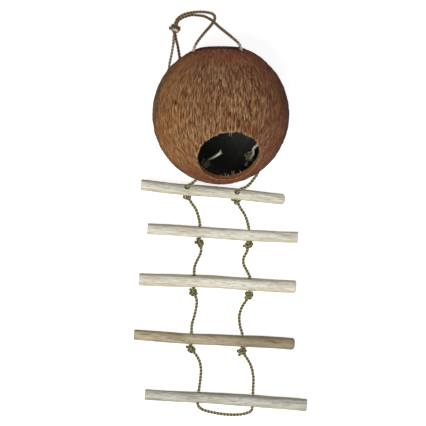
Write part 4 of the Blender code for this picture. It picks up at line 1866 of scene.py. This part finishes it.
    def _inner(self, side: Side) -> None:
        """The stretch inside the shell, from a front hole to the rear hole behind it."""
        front = self._wall_middle("front", side)
        rear = self._wall_middle("rear", side)
        points = [*front[2:], *vectors(self.inner_mm[side]), *rear[2:][::-1]]
        node = f"bail_cord_{side.value}"
        self._declare(f"bail_inner_{side.value}", node, points, None)

    def _rear(self, side: Side, centre: Vector) -> None:
        """The strand from a rear hole, under the shell and along the floor to the knot."""
        wall = self._wall_middle("rear", side)
        route = vectors(self.rear_mm[side])
        points = [wall[2], wall[1], wall[0], *route, centre]
        node = f"bail_cord_{side.value}"
        name = f"bail_rear_{side.value}"
        shades = (0.25, 0.0) if side is Side.LEFT else (0.0, 1.0)
        self._declare(name, node, points, (route[0], centre), shades=shades)


# ---- Studio ----------------------------------------------------------------------------------


@dataclass
class Studio:
    """The floor, the lights and the camera, which looks straight down."""

    camera_place: Point = (-7.07 * MM, 17.70 * MM, 2.0)
    lens_mm: float = 178.2
    floor_size: float = 6.0

    def add_camera(self) -> None:
        """Put the camera above the floor, with +Y up in its picture."""
        data = bpy.data.cameras.new("camera")
        data.lens = self.lens_mm
        data.sensor_width = 36.0
        camera = bpy.data.objects.new("camera", data)
        camera.location = self.camera_place
        bpy.context.scene.collection.objects.link(camera)
        bpy.context.scene.camera = camera
        bpy.context.scene.view_settings.view_transform = "Standard"

    def add_floor(self) -> None:
        """Lay the pale floor at z = 0."""
        half = self.floor_size / 2
        corners = np.array([(-half, -half, 0), (half, -half, 0), (half, half, 0), (-half, half, 0)])
        floor = new_piece("floor", corners, [[0, 1, 2, 3]], [PaleFloor().make()], smooth=False)

    def add_light(self, name: str, place: Point, size: float, power: float, colour: str) -> None:
        """Add a square soft light that faces the middle of the object.

        Args:
            name: The light's name.
            place: Where it is.
            size: The length of its sides.
            power: In watts.
            colour: An sRGB hex colour.
        """
        data = bpy.data.lights.new(name, "AREA")
        data.size = size
        data.energy = power
        data.color = linear(colour)[:3]
        lamp = bpy.data.objects.new(name, data)
        lamp.location = place
        aim = Vector((0, 0.02, 0.02)) - Vector(place)
        lamp.rotation_euler = aim.to_track_quat("-Z", "Y").to_euler()
        bpy.context.scene.collection.objects.link(lamp)

    def add_lights(self) -> None:
        """A large key from the ladder's side, a fill from the right, and an even sky."""
        self.add_light("key", (-0.4, -0.7, 1.7), 1.0, 27.0, "#fffdf6")
        self.add_light("fill", (0.6, 0.5, 1.7), 1.0, 6.0, "#f8faff")
        world = bpy.data.worlds.new("studio")
        world.use_nodes = True
        backdrop = world.node_tree.nodes["Background"]
        backdrop.inputs["Color"].default_value = linear("#fdfdfb")
        backdrop.inputs["Strength"].default_value = 0.25
        bpy.context.scene.world = world


def main() -> None:
    """Build every piece in order."""
    studio = Studio()
    studio.add_camera()
    cord_fibre = LooseFibre("cord_fibre", "#8c8468", "#e3dfc8").make()
    maker = CordMaker(TwistedCord().make(), cord_fibre)
    shell = CoconutShell()
    ladder = Ladder(shell, maker)
    ladder.build_cords()
    bail = Bail(shell, maker)
    bail.build_cords()
    ladder.build_sticks()
    husk = shell.build(CoirHusk().make(), ShellInside().make(), SawnShell().make())
    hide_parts("coconut_shell")
    strands = shell.strands(LooseFibre("coir_fibre", "#562a1a", "#b8956a").make())
    rim = shell.rim_fibres(LooseFibre("torn_coir", "#9a7a50", "#dcc9a4").make())
    for piece in (husk, strands, rim):
        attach(piece, "shell")
        log.info("%s: %d vertices", piece.name, len(piece.data.vertices))
    studio.add_floor()
    studio.add_lights()


if __name__ == "__main__":
    main()
